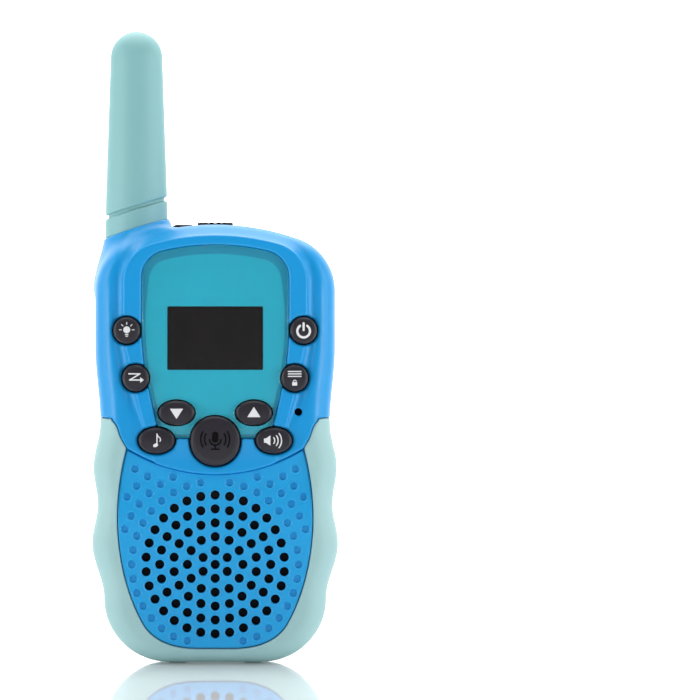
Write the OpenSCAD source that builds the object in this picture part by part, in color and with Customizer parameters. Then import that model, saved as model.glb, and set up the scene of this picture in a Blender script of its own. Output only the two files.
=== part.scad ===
// Toy walkie talkie that stands upright on two base pads.
// X points right, -Y points to the front, Z points up. All lengths are millimetres.
// Depths are given from the parting plane of the two housings, which placed() moves to its place.

/* [Body] */
// Height of the crown of the body
body_h = 103.9; // [103:0.1:105]
// Half of the width of the straight upper sides
body_half_w = 28.4; // [28.2:0.1:28.8]
// Depth from the parting plane to the front face
front_depth = 14; // [13.8:0.1:14.4]
// Depth from the parting plane to the rear face
rear_depth = 14; // [13.8:0.1:14.2]
// Wall thickness of the front housing
front_wall = 2.6; // [2.4:0.1:2.8]
// Wall thickness of the rear housing
rear_wall = 2.4; // [2.2:0.1:2.5]
// Thickness of the grip and the speaker panel over the front housing
skin = 1.5; // [1.4:0.1:1.6]

/* [Antenna] */
// Distance of the antenna's axis from the centre line, to the left
antenna_x = 18.7; // [18.4:0.1:19]
// Height of the antenna's tip
antenna_h = 150; // [140:1:160]
// Radius of the antenna just above its groove
antenna_r = 7.3; // [7:0.1:7.4]
// Radius of the antenna's round tip
tip_r = 6.15; // [5.5:0.05:6.5]

/* [Speaker] */
// Height of the centre of the hole pattern
speaker_z = 23.7; // [23.5:0.1:24]
// Distance between one ring of holes and the next
ring_pitch = 3.27; // [3.2:0.01:3.3]
// Number of rings round the centre hole
hole_rings = 5; // [4:1:5]
// Diameter of one hole
hole_d = 2; // [1.6:0.1:2.2]

/* [Buttons] */
// Travel of every button
travel = 0.8; // [0.6:0.1:0.9]
// Clearance between a button and the edge of its hole
button_gap = 0.3; // [0.3:0.05:0.35]
// Radius of the four round side buttons
side_button_r = 3.15; // [3:0.05:3.2]
// Radius of the talk button
talk_r = 5.85; // [5.6:0.05:5.9]

/* [Power] */
// Diameter of one AAA cell
cell_d = 10.5; // [10.3:0.1:10.5]
// Length of one AAA cell
cell_l = 44.5; // [44:0.1:44.8]
// Thickness of the battery door
door_t = 1.8; // [1.6:0.1:1.9]

/* [Belt clip] */
// Width of the clip's tongue
clip_w = 17; // [15:1:18]
// Gap between the rear face and the tongue
belt_gap = 5.2; // [5:0.1:5.6]
// Thickness of the tongue
clip_t = 2; // [1.8:0.1:2.2]

/* [Hidden] */
$fn = 64;

blue = "#38A3E4";
panel_blue = "#2F97E0";
aqua = "#A9D2D5";
teal = "#39ADC4";
charcoal = "#3C3A40";
black = "#202024";
board_green = "#1F5A3A";
steel = "#B8BCC0";
gold = "#C9A24B";

// The parting plane lies in front of the origin, so that the front buttons and the clip reach equally far
cap_proud = 1.8;
clip_rear = rear_depth + belt_gap + clip_t;
parting_y = (front_depth + cap_proud - clip_rear) / 2;

// Small overlap that keeps cuts clean
eps = 0.05;
base_z = 0.4;
front_edge_in = 5;
front_edge_depth = 6.5;
rear_edge_in = 4;
rear_edge_depth = 6;

// Crests and valleys of the finger waves: height, half width
waves = [[15.5, 26.3], [28.5, 29.1], [37.7, 27.8], [46.5, 28.8], [57, 27.2], [75, body_half_w]];
crown_r = 59;
crown_z = body_h - crown_r;
shoulder_r = 13;
shoulder_x = body_half_w - shoulder_r;
shoulder_z = crown_z + sqrt(pow(crown_r - shoulder_r, 2) - pow(shoulder_x, 2));
shoulder_end = atan2(shoulder_z - crown_z, shoulder_x);
corner_x = 11;

function wave(z, i = 0) =
  i > len(waves) - 2 ? waves[len(waves) - 1][1] :
  z > waves[i + 1][0] ? wave(z, i + 1) :
  waves[i][1] + (waves[i + 1][1] - waves[i][1])
    * (1 - cos(180 * (z - waves[i][0]) / (waves[i + 1][0] - waves[i][0]))) / 2;

right_side = concat(
  [for (a = [-90:9:0]) [corner_x + (waves[0][1] - corner_x) * cos(a),
                        waves[0][0] + (waves[0][0] - base_z) * sin(a)]],
  [for (z = [17.4:1.92:75]) [wave(z), z]],
  [for (i = [0:7]) [shoulder_x + shoulder_r * cos(i * shoulder_end / 7),
                    shoulder_z + shoulder_r * sin(i * shoulder_end / 7)]],
  [for (i = [1:5]) [crown_r * cos(shoulder_end + i * (90 - shoulder_end) / 5),
                    crown_z + crown_r * sin(shoulder_end + i * (90 - shoulder_end) / 5)]]
);
function mirrored(side, skip) = [for (i = [len(side) - 1 - skip:-1:0]) [-side[i][0], side[i][1]]];
outline = concat(right_side, mirrored(right_side, 1));

function unit(v) = v / norm(v);
function outward(shape, i) =
  let (n = len(shape), t = unit(shape[(i + 1) % n] - shape[(i + n - 1) % n])) [t[1], -t[0]];
function inset(shape, d) = [for (i = [0:len(shape) - 1]) shape[i] - d * outward(shape, i)];
function ellipse(x, z, rx, rz, n = 36) =
  [for (i = [0:n - 1]) [x + rx * cos(360 * i / n), z + rz * sin(360 * i / n)]];

// Quarter-ellipse edge of a shell that lies o inside the outer face: [depth, inset] for each ring
function front_rings(o, end) = concat(
  [for (a = [0:18:90]) [-front_depth + o + (front_edge_depth - o) * (1 - cos(a)),
                        o + (front_edge_in - o) * (1 - sin(a))]],
  [[end, o]]);
function rear_rings(o, start) = concat(
  [[start, o]],
  [for (a = [90:-18:0]) [rear_depth - o - (rear_edge_depth - o) * (1 - cos(a)),
                         o + (rear_edge_in - o) * (1 - sin(a))]]);

// Solid through a stack of insets of one outline, from front to back
module loft(shape, rings) {
  n = len(shape);
  last = len(rings) - 1;
  points = [for (r = rings) for (p = inset(shape, r[1])) [p[0], r[0], p[1]]];
  sides = [for (k = [0:last - 1]) for (i = [0:n - 1]) let (j = (i + 1) % n)
    each [[k * n + i, k * n + j, (k + 1) * n + j], [k * n + i, (k + 1) * n + j, (k + 1) * n + i]]];
  polyhedron(points, concat([[for (i = [n - 1:-1:0]) i]], [[for (i = [0:n - 1]) last * n + i]], sides));
}

module placed() { translate([0, parting_y, 0]) children(); }
// Extrude a drawing made in X and Z from depth y0 to depth y1
module plate(y0, y1) { translate([0, y1, 0]) rotate([90, 0, 0]) linear_extrude(y1 - y0) children(); }
// Extrude a drawing made in Y and Z from x0 to x1
module side_plate(x0, x1) { translate([x0, 0, 0]) rotate([90, 0, 90]) linear_extrude(x1 - x0) children(); }
module block(x0, x1, y0, y1, z0, z1) { translate([x0, y0, z0]) cube([x1 - x0, y1 - y0, z1 - z0]); }
// Round bar along Y from y0 to y1
module rod(x, z, r, y0, y1) { translate([x, y1, z]) rotate([90, 0, 0]) cylinder(r = r, h = y1 - y0); }
module rounded(x0, x1, z0, z1, r) {
  polygon([for (c = [[x1 - r, z0 + r, -90], [x1 - r, z1 - r, 0], [x0 + r, z1 - r, 90], [x0 + r, z0 + r, 180]])
    for (a = [0:15:90]) [c[0] + r * cos(c[2] + a), c[1] + r * sin(c[2] + a)]]);
}

// ---- Regions of the front face ----

// Chin: arc between the upper face and the speaker panel
chin_z = 45.1;
chin_x = 20.8;
chin_r = 39.6;
function chin(x) = chin_z + chin_r - sqrt(chin_r * chin_r - x * x);

// Speaker panel: elliptical sides, soft lower corners and the chin arc on top
panel_a = 23.05;
panel_b = 37.5;
panel_mid = 35;
panel_low = 3.9;
function panel_side(z) = panel_a * sqrt(1 - pow((z - panel_mid) / panel_b, 2));
panel_corner = [[4, panel_low], [13.7, panel_low], [panel_side(9.8), 9.8]];
function bezier(c, t) = c[0] * pow(1 - t, 2) + c[1] * 2 * t * (1 - t) + c[2] * t * t;
panel_right = concat(
  [for (i = [0:6]) bezier(panel_corner, i / 6)],
  [for (z = [13:4:49]) [panel_side(z), z]],
  [for (x = [chin_x:-chin_x / 8:0.1]) [x, chin(x)]],
  [[0, chin_z]]);
panel = concat(panel_right, mirrored(panel_right, 1));

// Border between the upper housing and the grip, right half: it rises from the chin and turns outwards
cheek_right = [[chin_x, chin(chin_x)], [22.5, 53.8], [23.1, 55.9], [24.0, 57.3], [25.4, 58.1], [40, 58.3]];
module upper_region() {
  polygon(concat([for (x = [-chin_x:chin_x / 8:chin_x - 0.1]) [x, chin(x)]],
    cheek_right, [[40, 130], [-40, 130]], mirrored(cheek_right, 0)));
}

// Raised bezel: arch on top, straight sides, then legs that lean inwards to the lower buttons
bezel_z = 101.3;
bezel_x = 21.7;
bezel_r = 9.5;
bezel_arch = crown_r - (body_h - bezel_z);
bezel_cx = bezel_x - bezel_r;
bezel_cz = crown_z + sqrt(pow(bezel_arch - bezel_r, 2) - pow(bezel_cx, 2));
bezel_end = atan2(bezel_cz - crown_z, bezel_cx);
bezel_right = concat(
  [[16.2, 52.5], [17.1, 56.8], [18.8, 63.9], [20.4, 71.7], [21.2, 75.6], [bezel_x, 81]],
  [for (i = [0:5]) [bezel_cx + bezel_r * cos(i * bezel_end / 5), bezel_cz + bezel_r * sin(i * bezel_end / 5)]],
  [for (i = [1:4]) let (a = bezel_end + i * (90 - bezel_end) / 4)
    [bezel_arch * cos(a), crown_z + bezel_arch * sin(a)]]);
bezel = concat(bezel_right, mirrored(bezel_right, 1));

// Display lens
lens_z0 = 53.5;
lens_z1 = 98.9;
lens_x = 17.3;
lens_r = 6.5;
lens_arch = crown_r - (body_h - lens_z1);
lens_cx = lens_x - lens_r;
lens_cz = crown_z + sqrt(pow(lens_arch - lens_r, 2) - pow(lens_cx, 2));
lens_end = atan2(lens_cz - crown_z, lens_cx);
lens_right = concat(
  [[10, lens_z0], [12.2, lens_z0 + 0.4], [13.2, lens_z0 + 1.7], [15.3, 63.8], [16.6, 70.6], [17.1, 75.6],
   [lens_x, 81]],
  [for (i = [0:6]) [lens_cx + lens_r * cos(i * lens_end / 6), lens_cz + lens_r * sin(i * lens_end / 6)]],
  [for (i = [1:4]) let (a = lens_end + i * (90 - lens_end) / 4)
    [lens_arch * cos(a), crown_z + lens_arch * sin(a)]]);
lens = concat(lens_right, mirrored(lens_right, 1));

bezel_h = 0.8;
bezel_y = -front_depth - bezel_h;
lens_y = bezel_y - 0.1;
mask_y = lens_y + 1.4;
lens_floor = mask_y + 0.2;
inner_y = -front_depth + front_wall;

// ---- Buttons: x, z, half width, half height ----
lamp = [-20.8, 78.8, side_button_r, side_button_r];
power = [20.8, 78.8, side_button_r, side_button_r];
scan = [-18.7, 67.6, side_button_r, side_button_r];
menu = [18.7, 67.6, side_button_r, side_button_r];
down = [-9.1, 59.4, 4.25, 2.9];
up = [9.1, 59.4, 4.25, 2.9];
call = [-13.8, 52.9, 4.25, 3.05];
monitor = [13.8, 52.9, 4.25, 3.05];
talk = [0, 52.8, talk_r, talk_r];
all_buttons = [lamp, power, scan, menu, down, up, call, monitor, talk];

cap_top = -front_depth - cap_proud;
flange_gap = 0.35;
flange_t = 0.8;
flange_lip = 0.55;
stem_r = 1.2;
stem_l = 0.6;
flange_y = inner_y + flange_gap;

// One button: domed cap, retaining flange and stem
module button(b) {
  color(charcoal) placed() {
    loft(ellipse(b[0], b[1], b[2], b[3], 32),
      [[cap_top, 1.3], [cap_top + 0.08, 0.75], [cap_top + 0.3, 0.3], [cap_top + 0.8, 0], [flange_y + eps, 0]]);
    plate(flange_y, flange_y + flange_t) polygon(ellipse(b[0], b[1], b[2] + flange_lip, b[3] + flange_lip, 32));
    rod(b[0], b[1], stem_r, flange_y + flange_t - eps, flange_y + flange_t + stem_l);
  }
}
module lamp_button() { button(lamp); }
module power_button() { button(power); }
module scan_button() { button(scan); }
module menu_button() { button(menu); }
module down_button() { button(down); }
module up_button() { button(up); }
module call_button() { button(call); }
module monitor_button() { button(monitor); }
module talk_button() { button(talk); }

module button_holes(y0, y1, grow = button_gap) {
  for (b = all_buttons) plate(y0, y1) polygon(ellipse(b[0], b[1], b[2] + grow, b[3] + grow, 36));
}

// ---- Things that pass through the top of the body ----
led_r = 2.5;
bezel_tube_r = 3.6;
torch_flange_r = 4.2;
torch_z = body_h - 0.9;
jack_x = -7.5;
jack_r = 1.28;
jack_top = 102.2;
jack_l = 10;
cover_x0 = -10.1;
cover_x1 = -4.95;
cover_y0 = -3.4;
cover_hinge_y = 3.8;
cover_hinge_z = 103.1;
cover_t = 1.1;
neck_low = 92;
spigot_r = 5.6;
// Slanted border between the neck and the antenna
slant = 17;
slant_z = 102.9;
module above_slant() {
  translate([-antenna_x, 0, slant_z]) rotate([0, -slant, 0]) translate([-30, -30, 0]) cube([60, 60, 80]);
}
module neck() {
  difference() {
    translate([-antenna_x, 0, neck_low]) cylinder(r1 = 8.3, r2 = 7.35, h = 14);
    above_slant();
    translate([-antenna_x, 0, neck_low - 1]) cylinder(r = spigot_r + 0.05, h = 20);
  }
}
module top_openings() {
  translate([0, 0, 90]) cylinder(r = bezel_tube_r + 0.1, h = 20);
  translate([0, 0, torch_z - 0.05]) cylinder(r = torch_flange_r + 0.1, h = 5);
  translate([jack_x, 0, 90]) cylinder(r = 2.7, h = 20);
  block(cover_x0 - 0.3, cover_x1 + 0.3, cover_y0 - 0.3, cover_hinge_y + cover_t / 2 + 0.3,
    cover_hinge_z - cover_t / 2 - 0.3, 110);
  translate([-antenna_x, 0, neck_low - 1]) cylinder(r = spigot_r + 0.05, h = 20);
}

// ---- Screws that hold the two housings ----
housing_screw_at = [[-20.5, 88], [20.5, 88], [-14, 6.6], [14, 6.6]];
pcb_screw_at = [[-22.2, 51.2], [22.2, 51.2]];
boss_r = 2.5;
pilot_r = 0.95;
shank_r = 0.93;
head_r = 2;
head_seat = 3;
board_y0 = -6.4;
board_t = 1.4;
board_y1 = board_y0 + board_t;

module front_housing() {
  color(blue) placed() {
    difference() {
      union() {
        intersection() {
          loft(outline, front_rings(0, 0));
          plate(-30, 1) upper_region();
        }
        loft(outline, front_rings(skin, 0));
        plate(bezel_y, -front_depth + 1) polygon(bezel);
        intersection() { neck(); block(-40, 40, -20, 0, 80, 130); }
      }
      difference() {
        loft(outline, front_rings(front_wall, 1));
        translate([-antenna_x, 0, neck_low]) cylinder(r = 7.2, h = 20);
      }
      plate(bezel_y - 1, lens_floor) polygon(inset(lens, -0.15));
      plate(-front_depth - 1, 0) rounded(-13.5, 13.5, 67.2, 86.8, 0.5);
      button_holes(bezel_y - 1, inner_y + 1);
      button_holes(inner_y, inner_y + 3, flange_lip + flange_gap);
      rod(0, speaker_z, 17.6, -front_depth, inner_y + 1);
      rod(mic[0], mic[1], 0.9, -front_depth - 1, inner_y + 1);
      top_openings();
    }
    for (p = housing_screw_at) difference() {
      rod(p[0], p[1], boss_r, inner_y - 0.3, 1.1);
      rod(p[0], p[1], pilot_r, -9, 2);
    }
    for (p = pcb_screw_at) difference() {
      rod(p[0], p[1], 1.7, inner_y - 0.3, board_y0);
      rod(p[0], p[1], 0.7, inner_y + 1, board_y0 + 1);
    }
  }
}

// Soft grip that wraps the lower sides and the base of the front housing
module front_grip() {
  color(aqua) placed() difference() {
    loft(outline, front_rings(0, 0));
    loft(outline, front_rings(skin, 1));
    plate(-30, 2) upper_region();
    plate(-30, -front_depth + skin + 1) polygon(panel);
  }
}

function ring_holes(n) = [for (i = [0:max(6 * n - 1, 0)])
  let (a = 90 + (n > 0 ? 60 * i / n : 0)) [n * ring_pitch * cos(a), speaker_z + n * ring_pitch * sin(a)]];

module speaker_grille() {
  color(panel_blue) placed() plate(-front_depth, -front_depth + skin) difference() {
    polygon(inset(panel, 0.15));
    for (n = [0:hole_rings]) for (p = ring_holes(n)) translate(p) circle(d = hole_d);
  }
}

// ---- Battery bay and door, on the rear ----
bay_x = 21.9;
bay_wall = 1.7;
bay_z0 = 11.6;
bay_z1 = 59;
bay_floor = 0.9;
bay_rim = rear_depth - door_t - 0.3;
shelf_z = 66;
door_x = 22.3;
door_z0 = 11.3;
door_z1 = 64;
door_r = 3;
door_gap = 0.35;
door_screw_z = 61.9;
hinge_r = door_t / 2;
hinge_y = rear_depth - hinge_r;
cell_pitch = cell_d + 0.4;
cell_y = rear_depth - door_t - 0.5 - cell_d / 2;
contact_t = 0.4;
rail_z0 = 84;
rail_z1 = 98;

module rear_housing() {
  color(aqua) placed() {
    difference() {
      union() {
        difference() {
          union() {
            loft(outline, rear_rings(0, 0));
            intersection() { neck(); block(-40, 40, 0, 20, 80, 130); }
          }
          difference() {
            loft(outline, rear_rings(rear_wall, -1));
            translate([-antenna_x, 0, neck_low]) cylinder(r = 7.2, h = 20);
          }
        }
        difference() {
          block(-bay_x - bay_wall, bay_x + bay_wall, 0, bay_rim, bay_z0 - 2.4, shelf_z);
          block(-bay_x, bay_x, -1, bay_rim - 1.2, bay_z1 + 1.4, shelf_z + 1);
        }
        rod(0, door_screw_z, 2.3, 3, bay_rim - 0.6);
        for (p = housing_screw_at) rod(p[0], p[1], 3.3, 1.2, rear_depth - rear_wall + 0.2);
        block(-4, 4, rear_depth - 0.5, rear_depth + 1.5, rail_z0, rail_z1);
        block(-6.5, 6.5, rear_depth + 1.4, rear_depth + 2.8, rail_z0, rail_z1);
      }
      plate(bay_rim, rear_depth + 1)
        rounded(-door_x - door_gap, door_x + door_gap, door_z0 - hinge_r - door_gap, door_z1 + door_gap,
          door_r + door_gap);
      block(-bay_x, bay_x, bay_floor, rear_depth, bay_z0, bay_z1);
      rod(0, door_screw_z, 1.2, 4, rear_depth);
      for (p = housing_screw_at) {
        rod(p[0], p[1], head_r + 0.3, head_seat, rear_depth + 1);
        rod(p[0], p[1], 1.2, 0, rear_depth);
      }
      top_openings();
    }
  }
}

module base_pads() {
  color(aqua) placed() for (s = [-1, 1]) block(s * 9 - 2, s * 9 + 2, -7 - parting_y, 7 - parting_y, 0, base_z);
}

module battery_door() {
  color(aqua) placed() difference() {
    union() {
      plate(rear_depth - door_t, rear_depth) rounded(-door_x, door_x, door_z0, door_z1, door_r);
      translate([-door_x + door_r, hinge_y, door_z0]) rotate([0, 90, 0])
        cylinder(r = hinge_r, h = 2 * (door_x - door_r));
    }
    rod(0, door_screw_z, 1.1, 0, rear_depth + 1);
    rod(0, door_screw_z, 2.1, rear_depth - 0.9, rear_depth + 1);
    for (i = [-1:1]) block(-6, 6, rear_depth - 0.5, rear_depth + 1, 52 + 2.6 * i - 0.6, 52 + 2.6 * i + 0.6);
  }
}

// Machine screw along Y with its head at the rear: cross recess, plain shank
module screw(x, z, r, hr, tip, seat, h) {
  difference() {
    union() {
      rod(x, z, r, tip, seat + eps);
      rod(x, z, hr, seat, seat + h);
    }
    block(x - hr * 0.6, x + hr * 0.6, seat + h - 0.6, seat + h + 1, z - 0.25, z + 0.25);
    block(x - 0.25, x + 0.25, seat + h - 0.6, seat + h + 1, z - hr * 0.6, z + hr * 0.6);
  }
}
module battery_door_screw() {
  color(steel) placed() screw(0, door_screw_z, 0.9, 1.9, rear_depth - door_t - 2.5, rear_depth - 0.9, 0.85);
}
module housing_screws() {
  color(steel) placed() for (p = housing_screw_at) screw(p[0], p[1], shank_r, head_r, -7, head_seat, 1.6);
}
module pcb_screws() {
  color(steel) placed() for (p = pcb_screw_at) screw(p[0], p[1], 0.68, 1.3, -9.8, board_y1, 0.9);
}

// ---- Power ----
nub_l = 1;
spring_gap = bay_z1 - bay_z0 - 2 * contact_t - cell_l;
// Cells 0 and 2 have the spring at the bottom, cells 1 and 3 at the top
function cell_x(i) = (i - 1.5) * cell_pitch;
function spring_low(i) = i % 2 == 0;

module battery_cells() {
  color(steel) placed() for (i = [0:3])
    translate([cell_x(i), cell_y, bay_z0 + contact_t + (spring_low(i) ? spring_gap : cell_l)])
      mirror([0, 0, spring_low(i) ? 0 : 1]) {
        cylinder(d = cell_d, h = cell_l - nub_l);
        translate([0, 0, cell_l - nub_l - eps]) cylinder(r = 1.9, h = nub_l + eps);
      }
}

// Closed tube of radius r along a list of points, swept with rings of equal sides
module tube(path, r, sides) {
  last = len(path) - 1;
  points = [for (k = [0:last])
    let (t = unit(path[min(k + 1, last)] - path[max(k - 1, 0)]),
         u = unit(cross(t, abs(t[0]) < 0.9 ? [1, 0, 0] : [0, 1, 0])), v = cross(t, u))
    for (i = [0:sides - 1]) path[k] + r * (u * cos(360 * i / sides) + v * sin(360 * i / sides))];
  walls = [for (k = [0:last - 1]) for (i = [0:sides - 1]) let (j = (i + 1) % sides)
    each [[k * sides + i, (k + 1) * sides + j, k * sides + j],
          [k * sides + i, (k + 1) * sides + i, (k + 1) * sides + j]]];
  polyhedron(points, concat([[for (i = [0:sides - 1]) i]], [[for (i = [sides - 1:-1:0]) last * sides + i]], walls));
}
// Closed tube round a vertical helix; its frame follows the coil
module helix(r0, r1, h, turns, wire_r, steps, sides) {
  n = turns * steps;
  points = [for (k = [0:n]) let (a = 360 * k / steps, r = r0 + (r1 - r0) * k / n)
    for (i = [0:sides - 1]) let (b = 360 * i / sides, q = r + wire_r * cos(b))
      [q * cos(a), q * sin(a), h * k / n + wire_r * sin(b)]];
  walls = [for (k = [0:n - 1]) for (i = [0:sides - 1]) let (j = (i + 1) % sides)
    each [[k * sides + i, k * sides + j, (k + 1) * sides + j],
          [k * sides + i, (k + 1) * sides + j, (k + 1) * sides + i]]];
  polyhedron(points, concat([[for (i = [sides - 1:-1:0]) i]], [[for (i = [0:sides - 1]) n * sides + i]], walls));
}

module battery_springs() {
  wire_r = 0.25;
  color(steel) placed() for (i = [0:3])
    translate([cell_x(i), cell_y, spring_low(i) ? bay_z0 + contact_t : bay_z1 - contact_t])
      mirror([0, 0, spring_low(i) ? 0 : 1])
        translate([0, 0, wire_r + 0.02]) helix(3.2, 1.9, spring_gap - 2 * wire_r - 0.04, 2, wire_r, 12, 6);
}

module battery_contacts() {
  plate_w = 3.6;
  color(gold) placed() {
    for (i = [0, 2]) block(cell_x(i) - plate_w, cell_x(i + 1) + plate_w, cell_y - plate_w, cell_y + plate_w,
      bay_z0, bay_z0 + contact_t);
    block(cell_x(1) - plate_w, cell_x(2) + plate_w, cell_y - plate_w, cell_y + plate_w,
      bay_z1 - contact_t, bay_z1);
    for (i = [0, 3]) block(cell_x(i) - plate_w, cell_x(i) + plate_w, cell_y - plate_w, cell_y + plate_w,
      bay_z1 - contact_t, bay_z1);
  }
}

// ---- Antenna ----
sheath_low = 92.2;
module antenna_sheath() {
  color(aqua) placed() translate([-antenna_x, 0, 0]) difference() {
    union() {
      intersection() {
        rotate_extrude() polygon(concat(
          [[0, 96], [7.5, 96], [7.4, 106], [antenna_r, 110], [tip_r, antenna_h - tip_r]],
          [for (a = [10:10:90]) [tip_r * cos(a), antenna_h - tip_r + tip_r * sin(a)]]));
        translate([antenna_x, 0, 0]) above_slant();
      }
      translate([0, 0, sheath_low]) cylinder(r = spigot_r, h = 20);
    }
    translate([0, 0, sheath_low - 1]) cylinder(r = 4.4, h = antenna_h - sheath_low - 9);
    translate([0, 0, slant_z + 4.6]) rotate([0, -slant, 0]) difference() {
      cylinder(r = 12, h = 1);
      translate([0, 0, -1]) cylinder(r = 6.6, h = 3);
    }
  }
}
module antenna_core() {
  color("white") placed() translate([-antenna_x, 0, 0]) {
    translate([0, 0, sheath_low]) cylinder(r = 4.3, h = 3);
    translate([0, 0, sheath_low]) cylinder(r = 2.3, h = antenna_h - sheath_low - 12);
  }
}
module antenna_coil() {
  color(gold) placed() translate([-antenna_x, 0, sheath_low + 4])
    helix(3.1, 3.1, 40, 9, 0.45, 12, 6);
}

// ---- Display ----
window_x = 11.3;
window_z0 = 69.5;
window_z1 = 84.5;
module display_lens() {
  color([0.8, 0.95, 0.97, 0.4]) placed() difference() {
    plate(lens_y, mask_y) polygon(lens);
    button_holes(lens_y - 1, mask_y + 1);
  }
}
module display_mask() {
  color(teal) placed() difference() {
    plate(mask_y, lens_floor) polygon(lens);
    plate(mask_y - 1, lens_floor + 1) rounded(-window_x, window_x, window_z0, window_z1, 0.3);
    button_holes(mask_y - 1, lens_floor + 1);
  }
}
module lcd_module() {
  color(black) placed() {
    block(-13.2, 13.2, lens_floor + 0.1, lens_floor + 1.2, 67.5, 86.5);
    block(-12.2, 12.2, lens_floor + 1.2, lens_floor + 2.2, 68.5, 86);
  }
}
module lcd_holder() {
  color("white") placed() difference() {
    block(-14.5, 14.5, inner_y, board_y0, 66.5, 87.5);
    block(-12.4, 12.4, inner_y - 1, -9.6, 68.3, 86.2);
    block(-12.4, 12.4, -8.8, board_y0 + 1, 68.3, 86.2);
  }
}

// ---- Keypad and circuit board ----
mat_y0 = -8;
// Space between a fully pressed stem and the mat
mat_gap = 0.35;
dome_t = 0.4;
module keypad_mat() {
  color("#D8D8D2") placed() {
    difference() {
      plate(mat_y0, board_y0 - dome_t) rounded(-24, 24, 48, 83, 2);
      plate(mat_y0 - 1, board_y0) rounded(-14.8, 14.8, 64.8, 100, 0.5);
      for (p = pcb_screw_at) rod(p[0], p[1], 2.2, mat_y0 - 1, board_y0);
    }
    for (b = all_buttons)
      rod(b[0], b[1], 1.8, flange_y + flange_t + stem_l + travel + mat_gap, mat_y0 + eps);
  }
}
module snap_domes() {
  color(steel) placed() for (b = all_buttons) rod(b[0], b[1], 2.2, board_y0 - dome_t, board_y0);
}
module main_pcb() {
  color(board_green) placed() difference() {
    plate(board_y0, board_y1)
      polygon([[-24.4, 46.5], [24.4, 46.5], [24.4, 84], [17, 84], [17, 98], [-10.6, 98], [-10.6, 84], [-24.4, 84]]);
    for (p = pcb_screw_at) rod(p[0], p[1], 0.75, board_y0 - 1, board_y1 + 1);
  }
}
module pcb_chips() {
  color(black) placed() {
    block(-8, 2, board_y1, board_y1 + 1.4, 68, 78);
    block(-17, -11, board_y1, board_y1 + 1.2, 70, 78);
    block(-12, -7, board_y1, board_y1 + 1.2, 56, 60);
    for (i = [0:3]) block(6 + 3.4 * i, 8 + 3.4 * i, board_y1, board_y1 + 0.8, 50, 51.2);
    rod(-16, 62, 2.6, board_y1, board_y1 + 4);
    block(8, 12.6, board_y1, board_y1 + 3.2, 56, 66);
  }
}
module rf_shield() {
  color(steel) placed() difference() {
    block(3, 19, board_y1, board_y1 + 1.8, 70, 83);
    block(3.4, 18.6, board_y1 - 1, board_y1 + 1.4, 70.4, 82.6);
  }
}

// ---- Speaker and microphone ----
speaker_r = 18.2;
mic = [19.6, 59.6];
module speaker_turned(profile) {
  translate([0, 0, speaker_z]) rotate([90, 0, 0]) rotate_extrude() polygon(profile);
}
module speaker_cloth() {
  color(black) placed() rod(0, speaker_z, 17.5, -front_depth + skin, -front_depth + skin + 0.3);
}
module speaker_frame() {
  front = -inner_y;
  color(steel) placed() speaker_turned([[16.9, front], [speaker_r, front], [speaker_r, front - 1.2],
    [16.2, front - 1.6], [11, 5.6], [4.2, 5.6], [4.2, 6.4], [10.6, 6.4], [15.2, front - 1.2], [16.9, front - 1]]);
}
module speaker_cone() {
  color("#2A2A2E") placed() speaker_turned([[0, 9.6], [5, 8.4], [14, 10.7], [15.2, 11.1], [16.7, 10.8],
    [16.7, 10.5], [15.2, 10.8], [14, 10.4], [5, 8.1], [4, 8.1], [0, 9.2]]);
}
module speaker_magnet() {
  color("#6B6B70") placed() difference() {
    rod(0, speaker_z, 9, -5.6, -2.6);
    rod(0, speaker_z, 2, -6, -4);
  }
}
module speaker_leads() {
  color("#B03030") placed() for (s = [-1, 1])
    tube([[s * 3, -4, 33.2], [s * 3, -3.6, 35], [s * 3.2, -3.2, 38], [s * 3.6, -3, 42], [s * 4, -3.4, 45.5],
          [s * 4, -4.4, 48]], 0.5, 8);
}
module battery_leads() {
  color("#303030") placed() for (s = [-1, 1])
    tube([[s * 18, 2, 67.2], [s * 18, 0.8, 68.6], [s * 18.4, -1.4, 71], [s * 19.4, -3, 75], [s * 20.6, -3.8, 79],
          [s * 21, -4.4, 81.5]], 0.5, 8);
}
module mic_capsule() {
  color(steel) placed() rod(mic[0], mic[1], 2, -10.9, -8.9);
}
module mic_boot() {
  color(black) placed() difference() {
    rod(mic[0], mic[1], 2.5, inner_y + 0.1, -8.6);
    rod(mic[0], mic[1], 2, -10.9, -8);
    rod(mic[0], mic[1], 0.8, inner_y - 1, -9);
  }
}

// ---- Flashlight and accessory socket on top ----
module flashlight_bezel() {
  color(black) placed() rotate_extrude() polygon([[2.7, 97], [bezel_tube_r, 97], [bezel_tube_r, torch_z],
    [torch_flange_r, torch_z], [torch_flange_r, body_h + 0.3], [3.8, body_h + 0.5], [3.2, body_h + 0.3],
    [2.9, body_h + 0.45], [2.7, body_h + 0.4]]);
}
module flashlight_lens() {
  color([0.9, 0.95, 1, 0.4]) placed() translate([0, 0, body_h - 0.9]) cylinder(r = 2.65, h = 0.9);
}
module flashlight_led() {
  color("white") placed() {
    translate([0, 0, 95]) cylinder(r = led_r, h = 4);
    translate([0, 0, 99]) sphere(r = led_r);
    translate([0, 0, 94]) cylinder(r = 2.65, h = 1.05);
    for (s = [-1, 1]) translate([s * 1.27, 0, 88]) cylinder(r = 0.3, h = 6.1);
  }
}
module audio_jack() {
  color(black) placed() difference() {
    union() {
      block(jack_x - 2.8, jack_x + 2.8, -3, 3, jack_top - jack_l - 1.5, 99.6);
      translate([jack_x, 0, 99]) cylinder(r = 2.4, h = jack_top - 99);
    }
    translate([jack_x, 0, jack_top - jack_l]) cylinder(r = jack_r, h = jack_l + 1);
  }
}
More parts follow.
